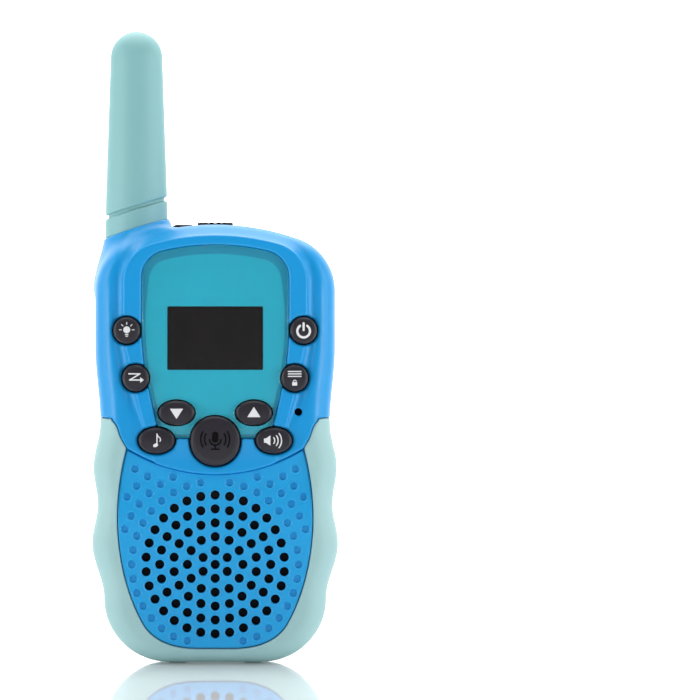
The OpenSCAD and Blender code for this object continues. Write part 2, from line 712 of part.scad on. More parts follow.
module jack_cover() {
  color(black) placed() {
    block(cover_x0, cover_x1, cover_y0, cover_hinge_y, cover_hinge_z - cover_t / 2, cover_hinge_z + cover_t / 2);
    translate([cover_x0, cover_hinge_y, cover_hinge_z]) rotate([0, 90, 0])
      cylinder(d = cover_t, h = cover_x1 - cover_x0);
  }
}

// ---- Belt clip that slides up off its rail ----
module belt_clip() {
  hub_w = 18.4;
  hub_z0 = 82.6;
  hub_z1 = 100;
  tongue_z0 = 65.2;
  tongue_y = rear_depth + belt_gap;
  fit = 0.35;
  color(blue) placed() difference() {
    union() {
      side_plate(-hub_w / 2, hub_w / 2) polygon(concat(
        [[rear_depth + fit, hub_z0], [tongue_y + clip_t, hub_z0]],
        [for (a = [0:15:90]) [tongue_y + clip_t - 3 + 3 * cos(a), hub_z1 - 3 + 3 * sin(a)]],
        [[rear_depth + fit, hub_z1]]));
      side_plate(-clip_w / 2, clip_w / 2) polygon([[tongue_y, hub_z0 + 1], [tongue_y, 69], [tongue_y - 1.3, 67.4],
        [tongue_y - 1.3, 66.4], [tongue_y + 0.4, tongue_z0], [tongue_y + clip_t - 0.4, tongue_z0],
        [tongue_y + clip_t, tongue_z0 + 0.8], [tongue_y + clip_t, hub_z0 + 1]]);
    }
    block(-4 - fit, 4 + fit, rear_depth, rear_depth + 2, hub_z0 - 1, rail_z1 + fit);
    block(-6.5 - fit, 6.5 + fit, rear_depth + 1.4 - fit, rear_depth + 2.8 + fit, hub_z0 - 1, rail_z1 + fit);
  }
}

front_housing();
front_grip();
speaker_grille();
rear_housing();
base_pads();
antenna_sheath();
antenna_core();
antenna_coil();
display_lens();
display_mask();
lcd_module();
lcd_holder();
lamp_button();
power_button();
scan_button();
menu_button();
down_button();
up_button();
call_button();
monitor_button();
talk_button();
keypad_mat();
snap_domes();
main_pcb();
pcb_chips();
rf_shield();
speaker_cloth();
speaker_frame();
speaker_cone();
speaker_magnet();
speaker_leads();
mic_capsule();
mic_boot();
flashlight_bezel();
flashlight_lens();
flashlight_led();
audio_jack();
jack_cover();
battery_door();
battery_door_screw();
battery_cells();
battery_springs();
battery_contacts();
battery_leads();
belt_clip();
housing_screws();
pcb_screws();
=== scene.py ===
"""Toy walkie talkie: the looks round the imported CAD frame.

Shapes are worked out in millimetres, with the depth y counted from the parting plane of the two housings,
and become metres in the frame's place when a piece is made. Organic shells are implicit surfaces, meshed on
a grid and then pulled onto the true surface; flat moulded sheets are triangulated in the plane of the front.
"""
import math

import bpy
import numpy as np
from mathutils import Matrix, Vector
from mathutils.geometry import delaunay_2d_cdt


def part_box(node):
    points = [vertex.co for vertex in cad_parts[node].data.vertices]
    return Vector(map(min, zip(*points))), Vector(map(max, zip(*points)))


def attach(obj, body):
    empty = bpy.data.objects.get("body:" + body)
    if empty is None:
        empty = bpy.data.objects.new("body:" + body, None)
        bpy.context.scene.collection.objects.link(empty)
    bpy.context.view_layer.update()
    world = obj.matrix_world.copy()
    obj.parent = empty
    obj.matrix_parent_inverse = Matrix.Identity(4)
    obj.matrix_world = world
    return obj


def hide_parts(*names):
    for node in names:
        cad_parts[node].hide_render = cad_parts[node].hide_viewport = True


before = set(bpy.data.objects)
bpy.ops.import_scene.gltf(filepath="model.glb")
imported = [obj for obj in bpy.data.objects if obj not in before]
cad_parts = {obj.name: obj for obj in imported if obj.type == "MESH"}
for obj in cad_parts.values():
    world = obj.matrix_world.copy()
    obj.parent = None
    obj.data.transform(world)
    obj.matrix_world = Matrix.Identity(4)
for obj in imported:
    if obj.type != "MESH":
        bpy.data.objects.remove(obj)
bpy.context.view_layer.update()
MM = 0.001

# ---------------------------------------------------------------- places and sizes, in millimetres


def node_box(node):
    """Lowest and highest corner of a CAD node, in millimetres, with y from the parting plane."""
    lo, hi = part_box(node)
    shift = np.array([0, PARTING_Y, 0])
    return np.array(lo) / MM - shift, np.array(hi) / MM - shift


PARTING_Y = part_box("rear_housing")[0].y / MM
FRONT_Y = node_box("front_grip")[0][1]
REAR_Y = node_box("battery_door")[1][1]
EDGE_IN, EDGE_DEPTH = 5.0, 6.5
REAR_EDGE_IN, REAR_EDGE_DEPTH = 4.0, 6.0
FRONT_WALL, REAR_WALL, SKIN = 2.6, 2.4, 1.5
BASE_Z, CROWN_Z = 0.4, 103.9
HALF_W, CROWN_R, SHOULDER_R, CORNER_X = 28.4, 59.0, 13.0, 11.0
WAVES = [(15.5, 26.3), (28.5, 29.1), (37.7, 27.8), (46.5, 28.8), (57.0, 27.2), (75.0, HALF_W)]
ANTENNA_X = sum(node_box("antenna_sheath")[i][0] for i in (0, 1)) / 2
ANTENNA_TOP = node_box("antenna_sheath")[1][2]
SLANT, SLANT_Z = math.tan(math.radians(17)), 102.9
SPEAKER_Z = 23.7
RING_PITCH, HOLE_R = 3.27, 1.07

# ---------------------------------------------------------------- plane curves


class Curve:
    """Closed curve in x and z, sampled evenly, with a signed distance that is negative inside."""

    def __init__(self, points, step=0.25):
        p = np.array(points, float)
        q = np.vstack([p, p[:1]])
        s = np.concatenate([[0], np.cumsum(np.linalg.norm(np.diff(q, axis=0), axis=1))])
        n = int(s[-1] / step)
        t = np.arange(n) * s[-1] / n
        self.points = np.stack([np.interp(t, s, q[:, 0]), np.interp(t, s, q[:, 1])], 1)
        area = np.sum(q[:-1, 0] * q[1:, 1] - q[1:, 0] * q[:-1, 1])
        if area < 0:
            self.points = self.points[::-1].copy()

    def distance(self, x, z):
        x, z = np.broadcast_arrays(x, z)
        shape = x.shape
        p = np.stack([x.ravel(), z.ravel()], 1)
        c = self.points
        out = np.empty(len(p))
        c32 = (c - c.mean(0)).astype(np.float32)
        half = (c32 ** 2).sum(1) / 2
        for i in range(0, len(p), 20000):
            b = p[i:i + 20000]
            near = np.argmin(half - (b - c.mean(0)).astype(np.float32) @ c32.T, axis=1)
            best = None
            for k in (-1, 0):
                a0, a1 = c[(near + k) % len(c)], c[(near + k + 1) % len(c)]
                e, v = a1 - a0, b - a0
                t = np.clip((v * e).sum(1) / (e * e).sum(1), 0, 1)
                d = v - t[:, None] * e
                dist = np.sqrt((d * d).sum(1))
                sign = np.where(e[:, 0] * v[:, 1] - e[:, 1] * v[:, 0] > 0, -1.0, 1.0)
                if best is None:
                    best, signed = dist, dist * sign
                else:
                    signed = np.where(dist < best - 1e-9, dist * sign, signed)
            out[i:i + 20000] = signed
        return out.reshape(shape)


class Field:
    """A function of x and z kept on a grid and read back with cubic interpolation."""

    def __init__(self, fn, box, step=0.3):
        self.x0, self.z0, self.step = box[0] - 2 * step, box[2] - 2 * step, step
        xs = np.arange(self.x0, box[1] + 3 * step, step)
        zs = np.arange(self.z0, box[3] + 3 * step, step)
        self.values = fn(xs[:, None], zs[None, :])

    def __call__(self, x, z):
        nx, nz = self.values.shape
        u = np.clip((x - self.x0) / self.step, 1, nx - 2.001)
        w = np.clip((z - self.z0) / self.step, 1, nz - 2.001)
        i, j = np.floor(u).astype(int), np.floor(w).astype(int)
        fu, fw = u - i, w - j
        total = 0
        wu, ww = cubic_weights(fu), cubic_weights(fw)
        for a in range(4):
            for b in range(4):
                total = total + wu[a] * ww[b] * self.values[i + a - 1, j + b - 1]
        return total


def cubic_weights(t):
    return (((-t + 2) * t - 1) * t / 2, ((3 * t - 5) * t * t + 2) / 2,
            ((-3 * t + 4) * t + 1) * t / 2, (t - 1) * t * t / 2)


def mirrored(side):
    """A right half from bottom to top, closed with its mirror image."""
    return side + [(-x, z) for x, z in reversed(side)]


def arc(cx, cz, r, a0, a1, n):
    """n points on an arc, angles in radians."""
    return [(cx + r * math.cos(a), cz + r * math.sin(a)) for a in np.linspace(a0, a1, n)]


def arched(half_w, top, corner_r, n=40):
    """Right side of a shape that ends in a rounded corner and an arch concentric with the crown."""
    centre = CROWN_Z - CROWN_R
    r = top - centre
    cx = half_w - corner_r
    cz = centre + math.sqrt((r - corner_r) ** 2 - cx ** 2)
    turn = math.atan2(cz - centre, cx)
    return arc(cx, cz, corner_r, 0, turn, n) + arc(0, centre, r, turn, math.pi / 2, n)


def wave(z):
    """Half width of the housing at height z: waves for the fingers, straight above."""
    for (z0, w0), (z1, w1) in zip(WAVES, WAVES[1:]):
        if z <= z1:
            return w0 + (w1 - w0) * (1 - math.cos(math.pi * (z - z0) / (z1 - z0))) / 2
    return WAVES[-1][1]


def bezier(p0, p1, p2, n=24):
    return [tuple((1 - t) ** 2 * np.array(p0) + 2 * t * (1 - t) * np.array(p1) + t * t * np.array(p2))
            for t in np.linspace(0, 1, n)]


def smooth_through(points, n=12):
    """Catmull-Rom curve through a few points, ends included."""
    p = [np.array(q, float) for q in points]
    p = [2 * p[0] - p[1]] + p + [2 * p[-1] - p[-2]]
    out = []
    for a, b, c, d in zip(p, p[1:], p[2:], p[3:]):
        for t in np.arange(n) / n:
            w = cubic_weights(t)
            out.append(tuple(w[0] * a + w[1] * b + w[2] * c + w[3] * d))
    return out + [tuple(p[-2])]


WIDEST = WAVES[0][1]
corner = [(CORNER_X + (WIDEST - CORNER_X) * math.cos(a), WAVES[0][0] + (WAVES[0][0] - BASE_Z) * math.sin(a))
          for a in np.linspace(-math.pi / 2, 0, 60)]
OUTLINE = Curve(mirrored(corner + [(wave(z), z) for z in np.arange(15.8, 75, 0.3)]
                         + arched(HALF_W, CROWN_Z, SHOULDER_R)))
LENS_BOTTOM, LENS_TOP, LENS_X = 53.5, 98.9, 17.3
LENS = Curve(mirrored(smooth_through([(9, LENS_BOTTOM), (12.2, LENS_BOTTOM + 0.3), (13.3, LENS_BOTTOM + 2.0),
                                      (15.3, 63.8), (16.6, 70.6), (17.15, 75.6), (LENS_X, 81), (LENS_X, 86)])
                      + arched(LENS_X, LENS_TOP, 6.5)))
BEZEL_X, BEZEL_TOP = 21.7, 101.3
BEZEL = Curve(mirrored(smooth_through([(12.0, 43), (14.8, 50), (16.9, 56.8), (18.8, 63.9), (20.4, 71.2), (21.3, 75.6),
                                       (BEZEL_X, 81), (BEZEL_X, 86)]) + arched(BEZEL_X, BEZEL_TOP, 9.5)))

# Chin arc, the speaker panel under it, and the cheek line between the blue housing and the grip
CHIN_Z, CHIN_X, CHIN_R = 45.1, 20.8, 39.6
PANEL_A, PANEL_B, PANEL_MID, PANEL_LOW = 23.05, 37.5, 35.0, 3.9


def chin(x):
    return CHIN_Z + CHIN_R - math.sqrt(CHIN_R ** 2 - x ** 2)


def panel_side(z):
    return PANEL_A * math.sqrt(1 - ((z - PANEL_MID) / PANEL_B) ** 2)


PANEL = Curve(mirrored(bezier((4, PANEL_LOW), (13.7, PANEL_LOW), (panel_side(9.8), 9.8))
                       + [(panel_side(z), z) for z in np.arange(10, chin(CHIN_X), 0.5)]
                       + [(x, chin(x)) for x in np.arange(CHIN_X, 0, -0.5)]))
CHEEK = smooth_through([(CHIN_X, chin(CHIN_X)), (22.3, 53.6), (23.1, 56.0), (24.2, 57.5), (25.8, 58.15), (40, 58.3)])
UPPER = Curve([(x, chin(x)) for x in np.arange(-CHIN_X, CHIN_X, 0.5)] + CHEEK + [(40, 130), (-40, 130)]
              + [(-x, z) for x, z in reversed(CHEEK)])

# ---------------------------------------------------------------- implicit shapes


def smooth_min(a, b, r):
    h = np.maximum(r - np.abs(a - b), 0) / r
    return np.minimum(a, b) - h * h * r / 4


def smooth_max(a, b, r):
    return -smooth_min(-a, -b, r)


def cut(a, b, r=0.4):
    """a without b, with a rounded edge."""
    return smooth_max(a, -b, r)


def ramp(t):
    """Smooth step from 0 to 1."""
    t = np.clip(t, 0, 1)
    return t * t * (3 - 2 * t)


def box_distance(x, y, z, lo, hi, r=0.0):
    """Distance to a box with edges rounded by r."""
    half = [(h - l) / 2 - r for l, h in zip(lo, hi)]
    q = [np.abs(c - (l + h) / 2) - k for c, l, h, k in zip((x, y, z), lo, hi, half)]
    outside = np.sqrt(sum(np.maximum(c, 0) ** 2 for c in q))
    return outside + np.minimum(np.maximum(np.maximum(q[0], q[1]), q[2]), 0) - r


def ellipse_distance(x, z, b, grow=0.0):
    """Nearly the distance to an ellipse b = (x, z, half width, half height)."""
    rx, rz = b[2] + grow, b[3] + grow
    u, w = (x - b[0]) / rx, (z - b[1]) / rz
    k = np.sqrt(u * u + w * w) + 1e-9
    return (k - 1) * k / (np.sqrt((u / rx) ** 2 + (w / rz) ** 2) + 1e-9)


def crowned(d, y, depth, edge_in, edge_depth, o=0.0):
    """Solid with outline distance d whose face at y = -depth rolls off in a quarter ellipse; o offsets it inwards."""
    a, b = edge_in - o, edge_depth - o
    u = np.maximum(d + o + a, 0) / a
    v = np.maximum(-(depth - edge_depth) - y, 0) / b
    e = np.sqrt(u * u + v * v)
    g = np.sqrt((u / a) ** 2 + (v / b) ** 2)
    return (e - 1) * np.where(e > 1e-5, e / np.maximum(g, 1e-9), a)


def surface_net(f, xs, ys, zs, steps=4):
    """Quads on the zero surface of f over the grid, with every vertex pulled onto the surface."""
    v = f(xs[:, None, None], ys[None, :, None], zs[None, None, :]).astype(np.float32)
    inside = v < 0
    n = [len(xs) - 1, len(ys) - 1, len(zs) - 1]
    corners = [(i, j, k) for i in (0, 1) for j in (0, 1) for k in (0, 1)]
    count = np.zeros(n, np.int8)
    for i, j, k in corners:
        count += inside[i:i + n[0], j:j + n[1], k:k + n[2]]
    active = (count > 0) & (count < 8)
    cells = np.argwhere(active)
    index = np.full(n, -1, np.int64)
    index[active] = np.arange(len(cells))
    axes = (xs, ys, zs)
    total, hits = np.zeros((len(cells), 3)), np.zeros(len(cells))
    for a in corners:
        for axis in range(3):
            if a[axis]:
                continue
            b = tuple(1 if t == axis else a[t] for t in range(3))
            va = v[tuple((cells + a).T)]
            vb = v[tuple((cells + b).T)]
            cross = (va < 0) != (vb < 0)
            t = np.where(cross, va / np.where(cross, va - vb, 1), 0)
            pa = np.stack([axes[k][cells[:, k] + a[k]] for k in range(3)], 1)
            pb = np.stack([axes[k][cells[:, k] + b[k]] for k in range(3)], 1)
            total += np.where(cross[:, None], pa + (pb - pa) * t[:, None], 0)
            hits += cross
    p = total / hits[:, None]
    faces = []
    for axis in range(3):
        u, w = (axis + 1) % 3, (axis + 2) % 3
        lo = [slice(None)] * 3
        hi = [slice(None)] * 3
        lo[axis], hi[axis] = slice(0, -1), slice(1, None)
        for k in (u, w):
            lo[k] = hi[k] = slice(1, -1)
        a, b = inside[tuple(lo)], inside[tuple(hi)]
        for flip, mask in ((False, a & ~b), (True, ~a & b)):
            at = np.argwhere(mask)
            if not len(at):
                continue
            at[:, u] += 1
            at[:, w] += 1
            quad = []
            for du, dw in ((-1, -1), (0, -1), (0, 0), (-1, 0)):
                q = at.copy()
                q[:, u] += du
                q[:, w] += dw
                quad.append(index[tuple(q.T)])
            faces.append(np.stack(quad[::-1] if flip else quad, 1))
    faces = np.concatenate(faces)
    limit = 0.5 * min(np.diff(xs).min(), np.diff(zs).min())
    p = pull(f, p, limit, steps)
    return p, faces


def pull(f, p, limit, steps):
    """Newton steps towards the zero surface of f, each at most limit long."""
    h = 0.02
    for _ in range(steps):
        x, y, z = p.T
        v = f(x, y, z)
        g = np.stack([f(x + h, y, z) - v, f(x, y + h, z) - v, f(x, y, z + h) - v], 1) / h
        move = -v[:, None] * g / np.maximum((g * g).sum(1), 0.05)[:, None]
        size = np.linalg.norm(move, axis=1)
        p = p + move * np.minimum(1, limit / np.maximum(size, 1e-9))[:, None]
    return p


def steps_between(*stops):
    """Grid values from (value, step, value, step, ..., value)."""
    out = [stops[0]]
    for a, step, b in zip(stops[0::2], stops[1::2], stops[2::2]):
        n = max(1, round((b - a) / step))
        out += list(a + (b - a) * np.arange(1, n + 1) / n)
    return np.array(out)


# ---------------------------------------------------------------- making pieces


def make(name, points, faces, material, body, smooth=True, normals=None):
    """A mesh piece from points in millimetres from the parting plane."""
    p = np.array(points, float) + (0, PARTING_Y, 0)
    mesh = bpy.data.meshes.new(name)
    mesh.from_pydata((p * MM).tolist(), [], [list(map(int, f)) for f in faces])
    mesh.materials.append(material)
    flags = np.broadcast_to(np.array(smooth, bool), len(mesh.polygons))
    mesh.polygons.foreach_set("use_smooth", np.ascontiguousarray(flags))
    mesh.update()
    if normals is not None:
        mesh.normals_split_custom_set_from_vertices(normals.tolist())
    piece = bpy.data.objects.new(name, mesh)
    bpy.context.scene.collection.objects.link(piece)
    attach(piece, body)
    return piece


def sculpt(name, f, xs, ys, zs, material, body, steps=4):
    """The piece whose surface is the zero set of f."""
    p, faces = surface_net(f, xs, ys, zs, steps)
    h = 0.06
    x, y, z = p.T
    n = np.stack([f(x + h, y, z) - f(x - h, y, z), f(x, y + h, z) - f(x, y - h, z),
                  f(x, y, z + h) - f(x, y, z - h)], 1)
    n /= np.maximum(np.linalg.norm(n, axis=1), 1e-9)[:, None]
    return make(name, p, faces, material, body, normals=n)


def replace(piece, *nodes):
    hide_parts(*nodes)
    return piece


# ---------------------------------------------------------------- finishes


def linear(c):
    return tuple((v / 255 / 12.92 if v <= 10.31 else ((v / 255 + 0.055) / 1.055) ** 2.4) for v in c)


def finish_of(name, rgb, rough, metal=0.0, grain=0.0, grain_size=0.25, **sockets):
    """A Principled finish; grain is the height in millimetres of a fine moulded texture."""
    m = bpy.data.materials.new(name)
    m.use_nodes = True
    nodes, links = m.node_tree.nodes, m.node_tree.links
    shader = nodes["Principled BSDF"]
    shader.inputs["Base Color"].default_value = (*linear(rgb), 1)
    shader.inputs["Roughness"].default_value = rough
    shader.inputs["Metallic"].default_value = metal
    for socket, value in sockets.items():
        shader.inputs[socket.replace("_", " ")].default_value = value
    if grain:
        place = nodes.new("ShaderNodeTexCoord")
        noise = nodes.new("ShaderNodeTexNoise")
        noise.inputs["Scale"].default_value = 1 / (grain_size * MM)
        noise.inputs["Detail"].default_value = 2
        bump = nodes.new("ShaderNodeBump")
        bump.inputs["Distance"].default_value = grain * MM
        links.new(place.outputs["Object"], noise.inputs["Vector"])
        links.new(noise.outputs["Fac"], bump.inputs["Height"])
        links.new(bump.outputs["Normal"], shader.inputs["Normal"])
    m.diffuse_color = (*linear(rgb), 1)
    return m


BLUE = finish_of("blue_moulding", (12, 149, 216), 0.33, grain=0.004, Specular_IOR_Level=0.42)
PANEL_BLUE = finish_of("blue_panel", (28, 158, 220), 0.33, grain=0.003, Specular_IOR_Level=0.42)
AQUA = finish_of("aqua_moulding", (136, 184, 188), 0.42, grain=0.004)
GRIP = finish_of("aqua_grip", (157, 196, 197), 0.5, grain=0.006)
SHEATH = finish_of("aqua_sheath", (131, 183, 185), 0.48, grain=0.006)
LENS_CLEAR = finish_of("clear_lens", (250, 254, 255), 0.15, IOR=1.4, Transmission_Weight=1.0, Specular_IOR_Level=0.1)
TORCH_CLEAR = finish_of("torch_lens", (244, 248, 250), 0.02, IOR=1.45, Transmission_Weight=1.0)
TEAL = finish_of("teal_print", (37, 181, 206), 0.6, Specular_IOR_Level=0.2)
# painted shade: a darker teal laid under the lens's bevel in place of the shade the bevel casts on the teal print
TEAL_PAINTED_SHADE = finish_of("teal_painted_shade", (19, 151, 184), 0.6, Specular_IOR_Level=0.2)
LCD = finish_of("lcd_glass", (20, 14, 15), 0.2, Specular_IOR_Level=0.05)
WHITE = finish_of("white_plastic", (225, 226, 228), 0.4)
CHARCOAL = finish_of("charcoal_key", (38, 35, 43), 0.36, grain=0.002, Specular_IOR_Level=0.4)
# painted shade: near-black, much darker than the key, in place of the shade that darkens the strokes of the talk relief
RELIEF_PAINTED_SHADE = finish_of("charcoal_relief_painted_shade", (9, 8, 10), 0.8, Specular_IOR_Level=0.1)
SILICONE = finish_of("silicone", (206, 208, 202), 0.6)
STEEL = finish_of("spring_steel", (196, 198, 202), 0.26, metal=1.0)
BOARD = finish_of("circuit_board", (22, 92, 56), 0.38)
BLACK = finish_of("black_plastic", (22, 24, 30), 0.7, grain=0.004, Specular_IOR_Level=0.08)
PAD = finish_of("pad_rubber", (96, 138, 138), 0.7)
RUBBER = finish_of("black_rubber", (20, 22, 28), 0.95, Specular_IOR_Level=0.0)
CLOTH = finish_of("black_cloth", (12, 11, 14), 0.95, grain=0.03, grain_size=0.3)
MAGNET = finish_of("magnet_grey", (104, 104, 110), 0.5, metal=0.6)
RED = finish_of("lead_red", (176, 38, 38), 0.45)
DARK_LEAD = finish_of("lead_black", (34, 34, 38), 0.45)
BRASS = finish_of("brass", (214, 178, 104), 0.25, metal=1.0)
WRAP = finish_of("cell_wrap", (58, 62, 70), 0.3)
WRAP_BAND = finish_of("cell_band", (196, 132, 62), 0.28, metal=0.7)

PLAIN = {
    "base_pads": PAD, "antenna_core": WHITE, "antenna_coil": BRASS, "display_mask": TEAL, "lcd_module": LCD,
    "lcd_holder": WHITE, "keypad_mat": SILICONE, "snap_domes": STEEL, "main_pcb": BOARD, "pcb_chips": BLACK,
    "rf_shield": STEEL, "speaker_cloth": CLOTH, "speaker_frame": STEEL, "speaker_cone": BLACK,
    "speaker_magnet": MAGNET, "speaker_leads": RED, "mic_capsule": STEEL, "mic_boot": RUBBER,
    "flashlight_bezel": BLACK, "flashlight_lens": TORCH_CLEAR, "flashlight_led": WHITE, "audio_jack": BLACK,
    "battery_springs": STEEL, "battery_contacts": BRASS, "battery_leads": DARK_LEAD, "housing_screws": STEEL,
    "battery_door_screw": STEEL, "pcb_screws": STEEL,
}
for node, material in PLAIN.items():
    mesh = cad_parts[node].data
    mesh.materials.clear()
    mesh.materials.append(material)

# ---------------------------------------------------------------- shared fields

COARSE = 1.0
D = Field(OUTLINE.distance, (-31, 31, -2, 112))
U = Field(UPPER.distance, (-31, 31, 40, 112))
B = Field(BEZEL.distance, (-31, 31, 40, 112))
L = Field(LENS.distance, (-31, 31, 40, 112), 0.2)
P = Field(PANEL.distance, (-31, 31, -2, 60))

FLANGE = 0.55  # hidden rim that keeps a cap in its hole
BUTTONS = {}  # x, z, half width and half height of each cap
for key in ("lamp", "power", "scan", "menu", "down", "up", "call", "monitor", "talk"):
    lo, hi = node_box(key + "_button")
    BUTTONS[key] = ((lo[0] + hi[0]) / 2, (lo[2] + hi[2]) / 2,
                    (hi[0] - lo[0]) / 2 - FLANGE, (hi[2] - lo[2]) / 2 - FLANGE)
BUTTON_GAP = 0.3
INNER_Y = FRONT_Y + FRONT_WALL
MIC = (19.6, 59.6)


def front_body(x, y, z, o=0.0):
    return crowned(D(x, z), y, -FRONT_Y, EDGE_IN, EDGE_DEPTH, o)


def rear_body(x, y, z, o=0.0):
    return crowned(D(x, z), -y, REAR_Y, REAR_EDGE_IN, REAR_EDGE_DEPTH, o)


def slanted(x, z, over):
    """Height above the slanted border between neck and antenna, moved up along the axis by over."""
    return (z - SLANT_Z - over - SLANT * (x - ANTENNA_X)) / math.hypot(1, SLANT)


def neck(x, y, z):
    r = np.hypot(x - ANTENNA_X, y)
    cone = r - (8.3 - 0.95 * (z - 92) / 14)
    return smooth_max(smooth_max(cone, slanted(x, z, -0.06), 0.35), 90 - z, 0.5)


SPIGOT_R, TORCH_Z, JACK_X = 5.6, CROWN_Z - 0.9, -7.5
COVER_LO, COVER_HI = node_box("jack_cover")


def top_openings(x, y, z):
    """Holes in the crown for the torch, the socket, its cover and the antenna's spigot."""
    r0 = np.hypot(x, y)
    torch = np.minimum(np.maximum(r0 - 3.7, 90 - z), np.maximum(r0 - 4.3, TORCH_Z - 0.05 - z))
    jack = np.maximum(np.hypot(x - JACK_X, y) - 2.7, 90 - z)
    cover = box_distance(x, y, z, COVER_LO - 0.3, (COVER_HI[0] + 0.3, COVER_HI[1] + 0.3, 112), 0.3)
    spigot = np.maximum(np.hypot(x - ANTENNA_X, y) - SPIGOT_R - 0.05, 91 - z)
    return np.minimum(np.minimum(torch, jack), np.minimum(cover, spigot))


SCREWS = [(-20.5, 88), (20.5, 88), (-14, 6.6), (14, 6.6)]


def front_shell(x, y, z):
    b = B(x, z)
    side = ramp((z - 56) / 8)
    valley = 0.55 * side * np.exp(-((b - 1.5) / 1.1) ** 2)
    upper = smooth_max(front_body(x, y - valley, z), U(x, z) + 0.06, 0.5)
    rise = 0.8 * ramp((z - 47.5) / 7)
    face = smooth_max(smooth_max(b, FRONT_Y - rise - y, 0.55), y - FRONT_Y - 2, 0.5)
    face = smooth_max(face, U(x, z) + 0.06, 0.5)
    f = np.minimum(smooth_min(upper, face, 0.9), front_body(x, y, z, SKIN))
    f = smooth_min(f, neck(x, y, z), 4.5)
    hollow = cut(front_body(x, y, z, FRONT_WALL), np.maximum(np.hypot(x - ANTENNA_X, y) - 7.2, 91 - z), 0.3)
    f = cut(f, hollow, 0.3)
    f = cut(f, np.maximum(L(x, z) - 0.16, y - FRONT_Y - 0.7), 0.45)
    f = np.maximum(f, -box_distance(x, y, z, (-13.5, FRONT_Y - 2, 67.2), (13.5, 0, 86.8), 0.5))
    for key, b in BUTTONS.items():
        f = cut(f, ellipse_distance(x, z, b, BUTTON_GAP), 0.7)
        f = np.maximum(f, -np.maximum(ellipse_distance(x, z, b, 0.9), np.maximum(INNER_Y - y, y - INNER_Y - 3)))
    f = cut(f, np.hypot(x - MIC[0], z - MIC[1]) - 0.9, 0.35)
    f = np.maximum(f, -np.maximum(np.hypot(x, z - SPEAKER_Z) - 17.6, y - INNER_Y - 1))
    f = cut(f, top_openings(x, y, z), 0.3)
    for x0, z0 in SCREWS:
        boss = np.maximum(np.hypot(x - x0, z - z0) - 2.5, np.maximum(INNER_Y - 0.3 - y, y - 1))
        f = np.minimum(f, np.maximum(boss, -np.maximum(np.hypot(x - x0, z - z0) - 0.95, -9 - y)))
    return smooth_max(f, y - 0.02, 0.3)


def front_depths(near, fine, coarse):
    return steps_between(near, fine, FRONT_Y + 3.4, 2 * fine, FRONT_Y + 8, coarse, 0.6)


c = COARSE
replace(sculpt("front_housing_shell", front_shell, steps_between(-29.4, 0.3 * c, 29.4),
               front_depths(FRONT_Y - 1.4, 0.3 * c, 1.0),
               steps_between(1.2, 1.0, 42, 0.3 * c, 110), BLUE, "housing"), "front_housing")


def grip(x, y, z):
    f = cut(front_body(x, y, z), front_body(x, y, z, SKIN), 0.2)
    f = cut(f, U(x, np.maximum(z, 40)) - 0.06, 0.5)
    f = cut(f, np.maximum(P(x, z) - 0.08, y + 10), 0.5)
    return smooth_max(f, y - 0.02, 0.3)


replace(sculpt("front_grip_cover", grip, steps_between(-30, 0.35 * c, 30), front_depths(FRONT_Y - 0.6, 0.35 * c, 1.0),
               steps_between(-0.4, 0.35 * c, 60), GRIP, "housing"), "front_grip")

# ---------------------------------------------------------------- speaker grille: a flat sheet with rounded holes


def ring(x, z, r, n=28):
    return [(x + r * math.cos(a), z + r * math.sin(a)) for a in np.arange(n) * 2 * math.pi / n]


def inset(points, d):
    """A closed curve moved inwards by d along its own normals."""
    p = np.array(points)
    t = np.roll(p, -1, 0) - np.roll(p, 1, 0)
    n = np.stack([-t[:, 1], t[:, 0]], 1) / np.linalg.norm(t, axis=1)[:, None]
    return [tuple(q) for q in p + d * n]


DIP, DIP_Z, DIP_H = 0.8, 33, 12  # the sheet's face sinks a little towards the chin


class Sheet:
    """Collects loops of points and faces for a moulded sheet."""

    def __init__(self):
        self.points, self.faces, self.smooth = [], [], []

    def loop(self, plan, y):
        start = len(self.points)
        near = min(1, (FRONT_Y + SKIN - y) / 0.9)
        self.points += [(x, y + near * DIP * float(ramp((z - DIP_Z) / DIP_H)), z) for x, z in plan]
        return list(range(start, start + len(plan)))

    def wall(self, a, b):
        """Quads between two equal loops; a is the one nearer the front, and the outside is to the right of it."""
        n = len(a)
        self.faces += [(a[i], a[(i + 1) % n], b[(i + 1) % n], b[i]) for i in range(n)]
        self.smooth += [True] * n

    def fill(self, loops, back=False):
        """Flat faces inside the first loop and outside the others."""
        ids = [i for loop in loops for i in loop]
        plan = [Vector((self.points[i][0], self.points[i][2])) for i in ids]
        edges, at = [], 0
        for loop in loops:
            n = len(loop)
            edges += [(at + i, at + (i + 1) % n) for i in range(n)]
            at += n
        _, _, tris, _, _, _ = delaunay_2d_cdt(plan, edges, [], 0, 1e-6)
        holes = [np.array([plan[i] for i in range(sum(map(len, loops[:k])), sum(map(len, loops[:k + 1])))])
                 for k in range(1, len(loops))]
        centres = np.array([h.mean(0) for h in holes]) if holes else np.zeros((0, 2))
        radii = np.array([np.linalg.norm(h - c, axis=1).max() for h, c in zip(holes, centres)])
        outer = Curve([tuple(v) for v in plan[:len(loops[0])]], 0.4)
        mid = np.array([[sum(plan[i][k] for i in t) / 3 for k in (0, 1)] for t in tris])
        keep = outer.distance(mid[:, 0], mid[:, 1]) < 0
        for c, r in zip(centres, radii):
            keep &= np.linalg.norm(mid - c, axis=1) > r * 0.9
        for t, k in zip(tris, keep):
            if not k:
                continue
            (x0, z0), (x1, z1), (x2, z2) = (plan[i] for i in t)
            turns_left = (x1 - x0) * (z2 - z0) - (x2 - x0) * (z1 - z0) > 0
            face = tuple(ids[i] for i in t)
            self.faces.append(face if turns_left != back else face[::-1])
            self.smooth.append(False)


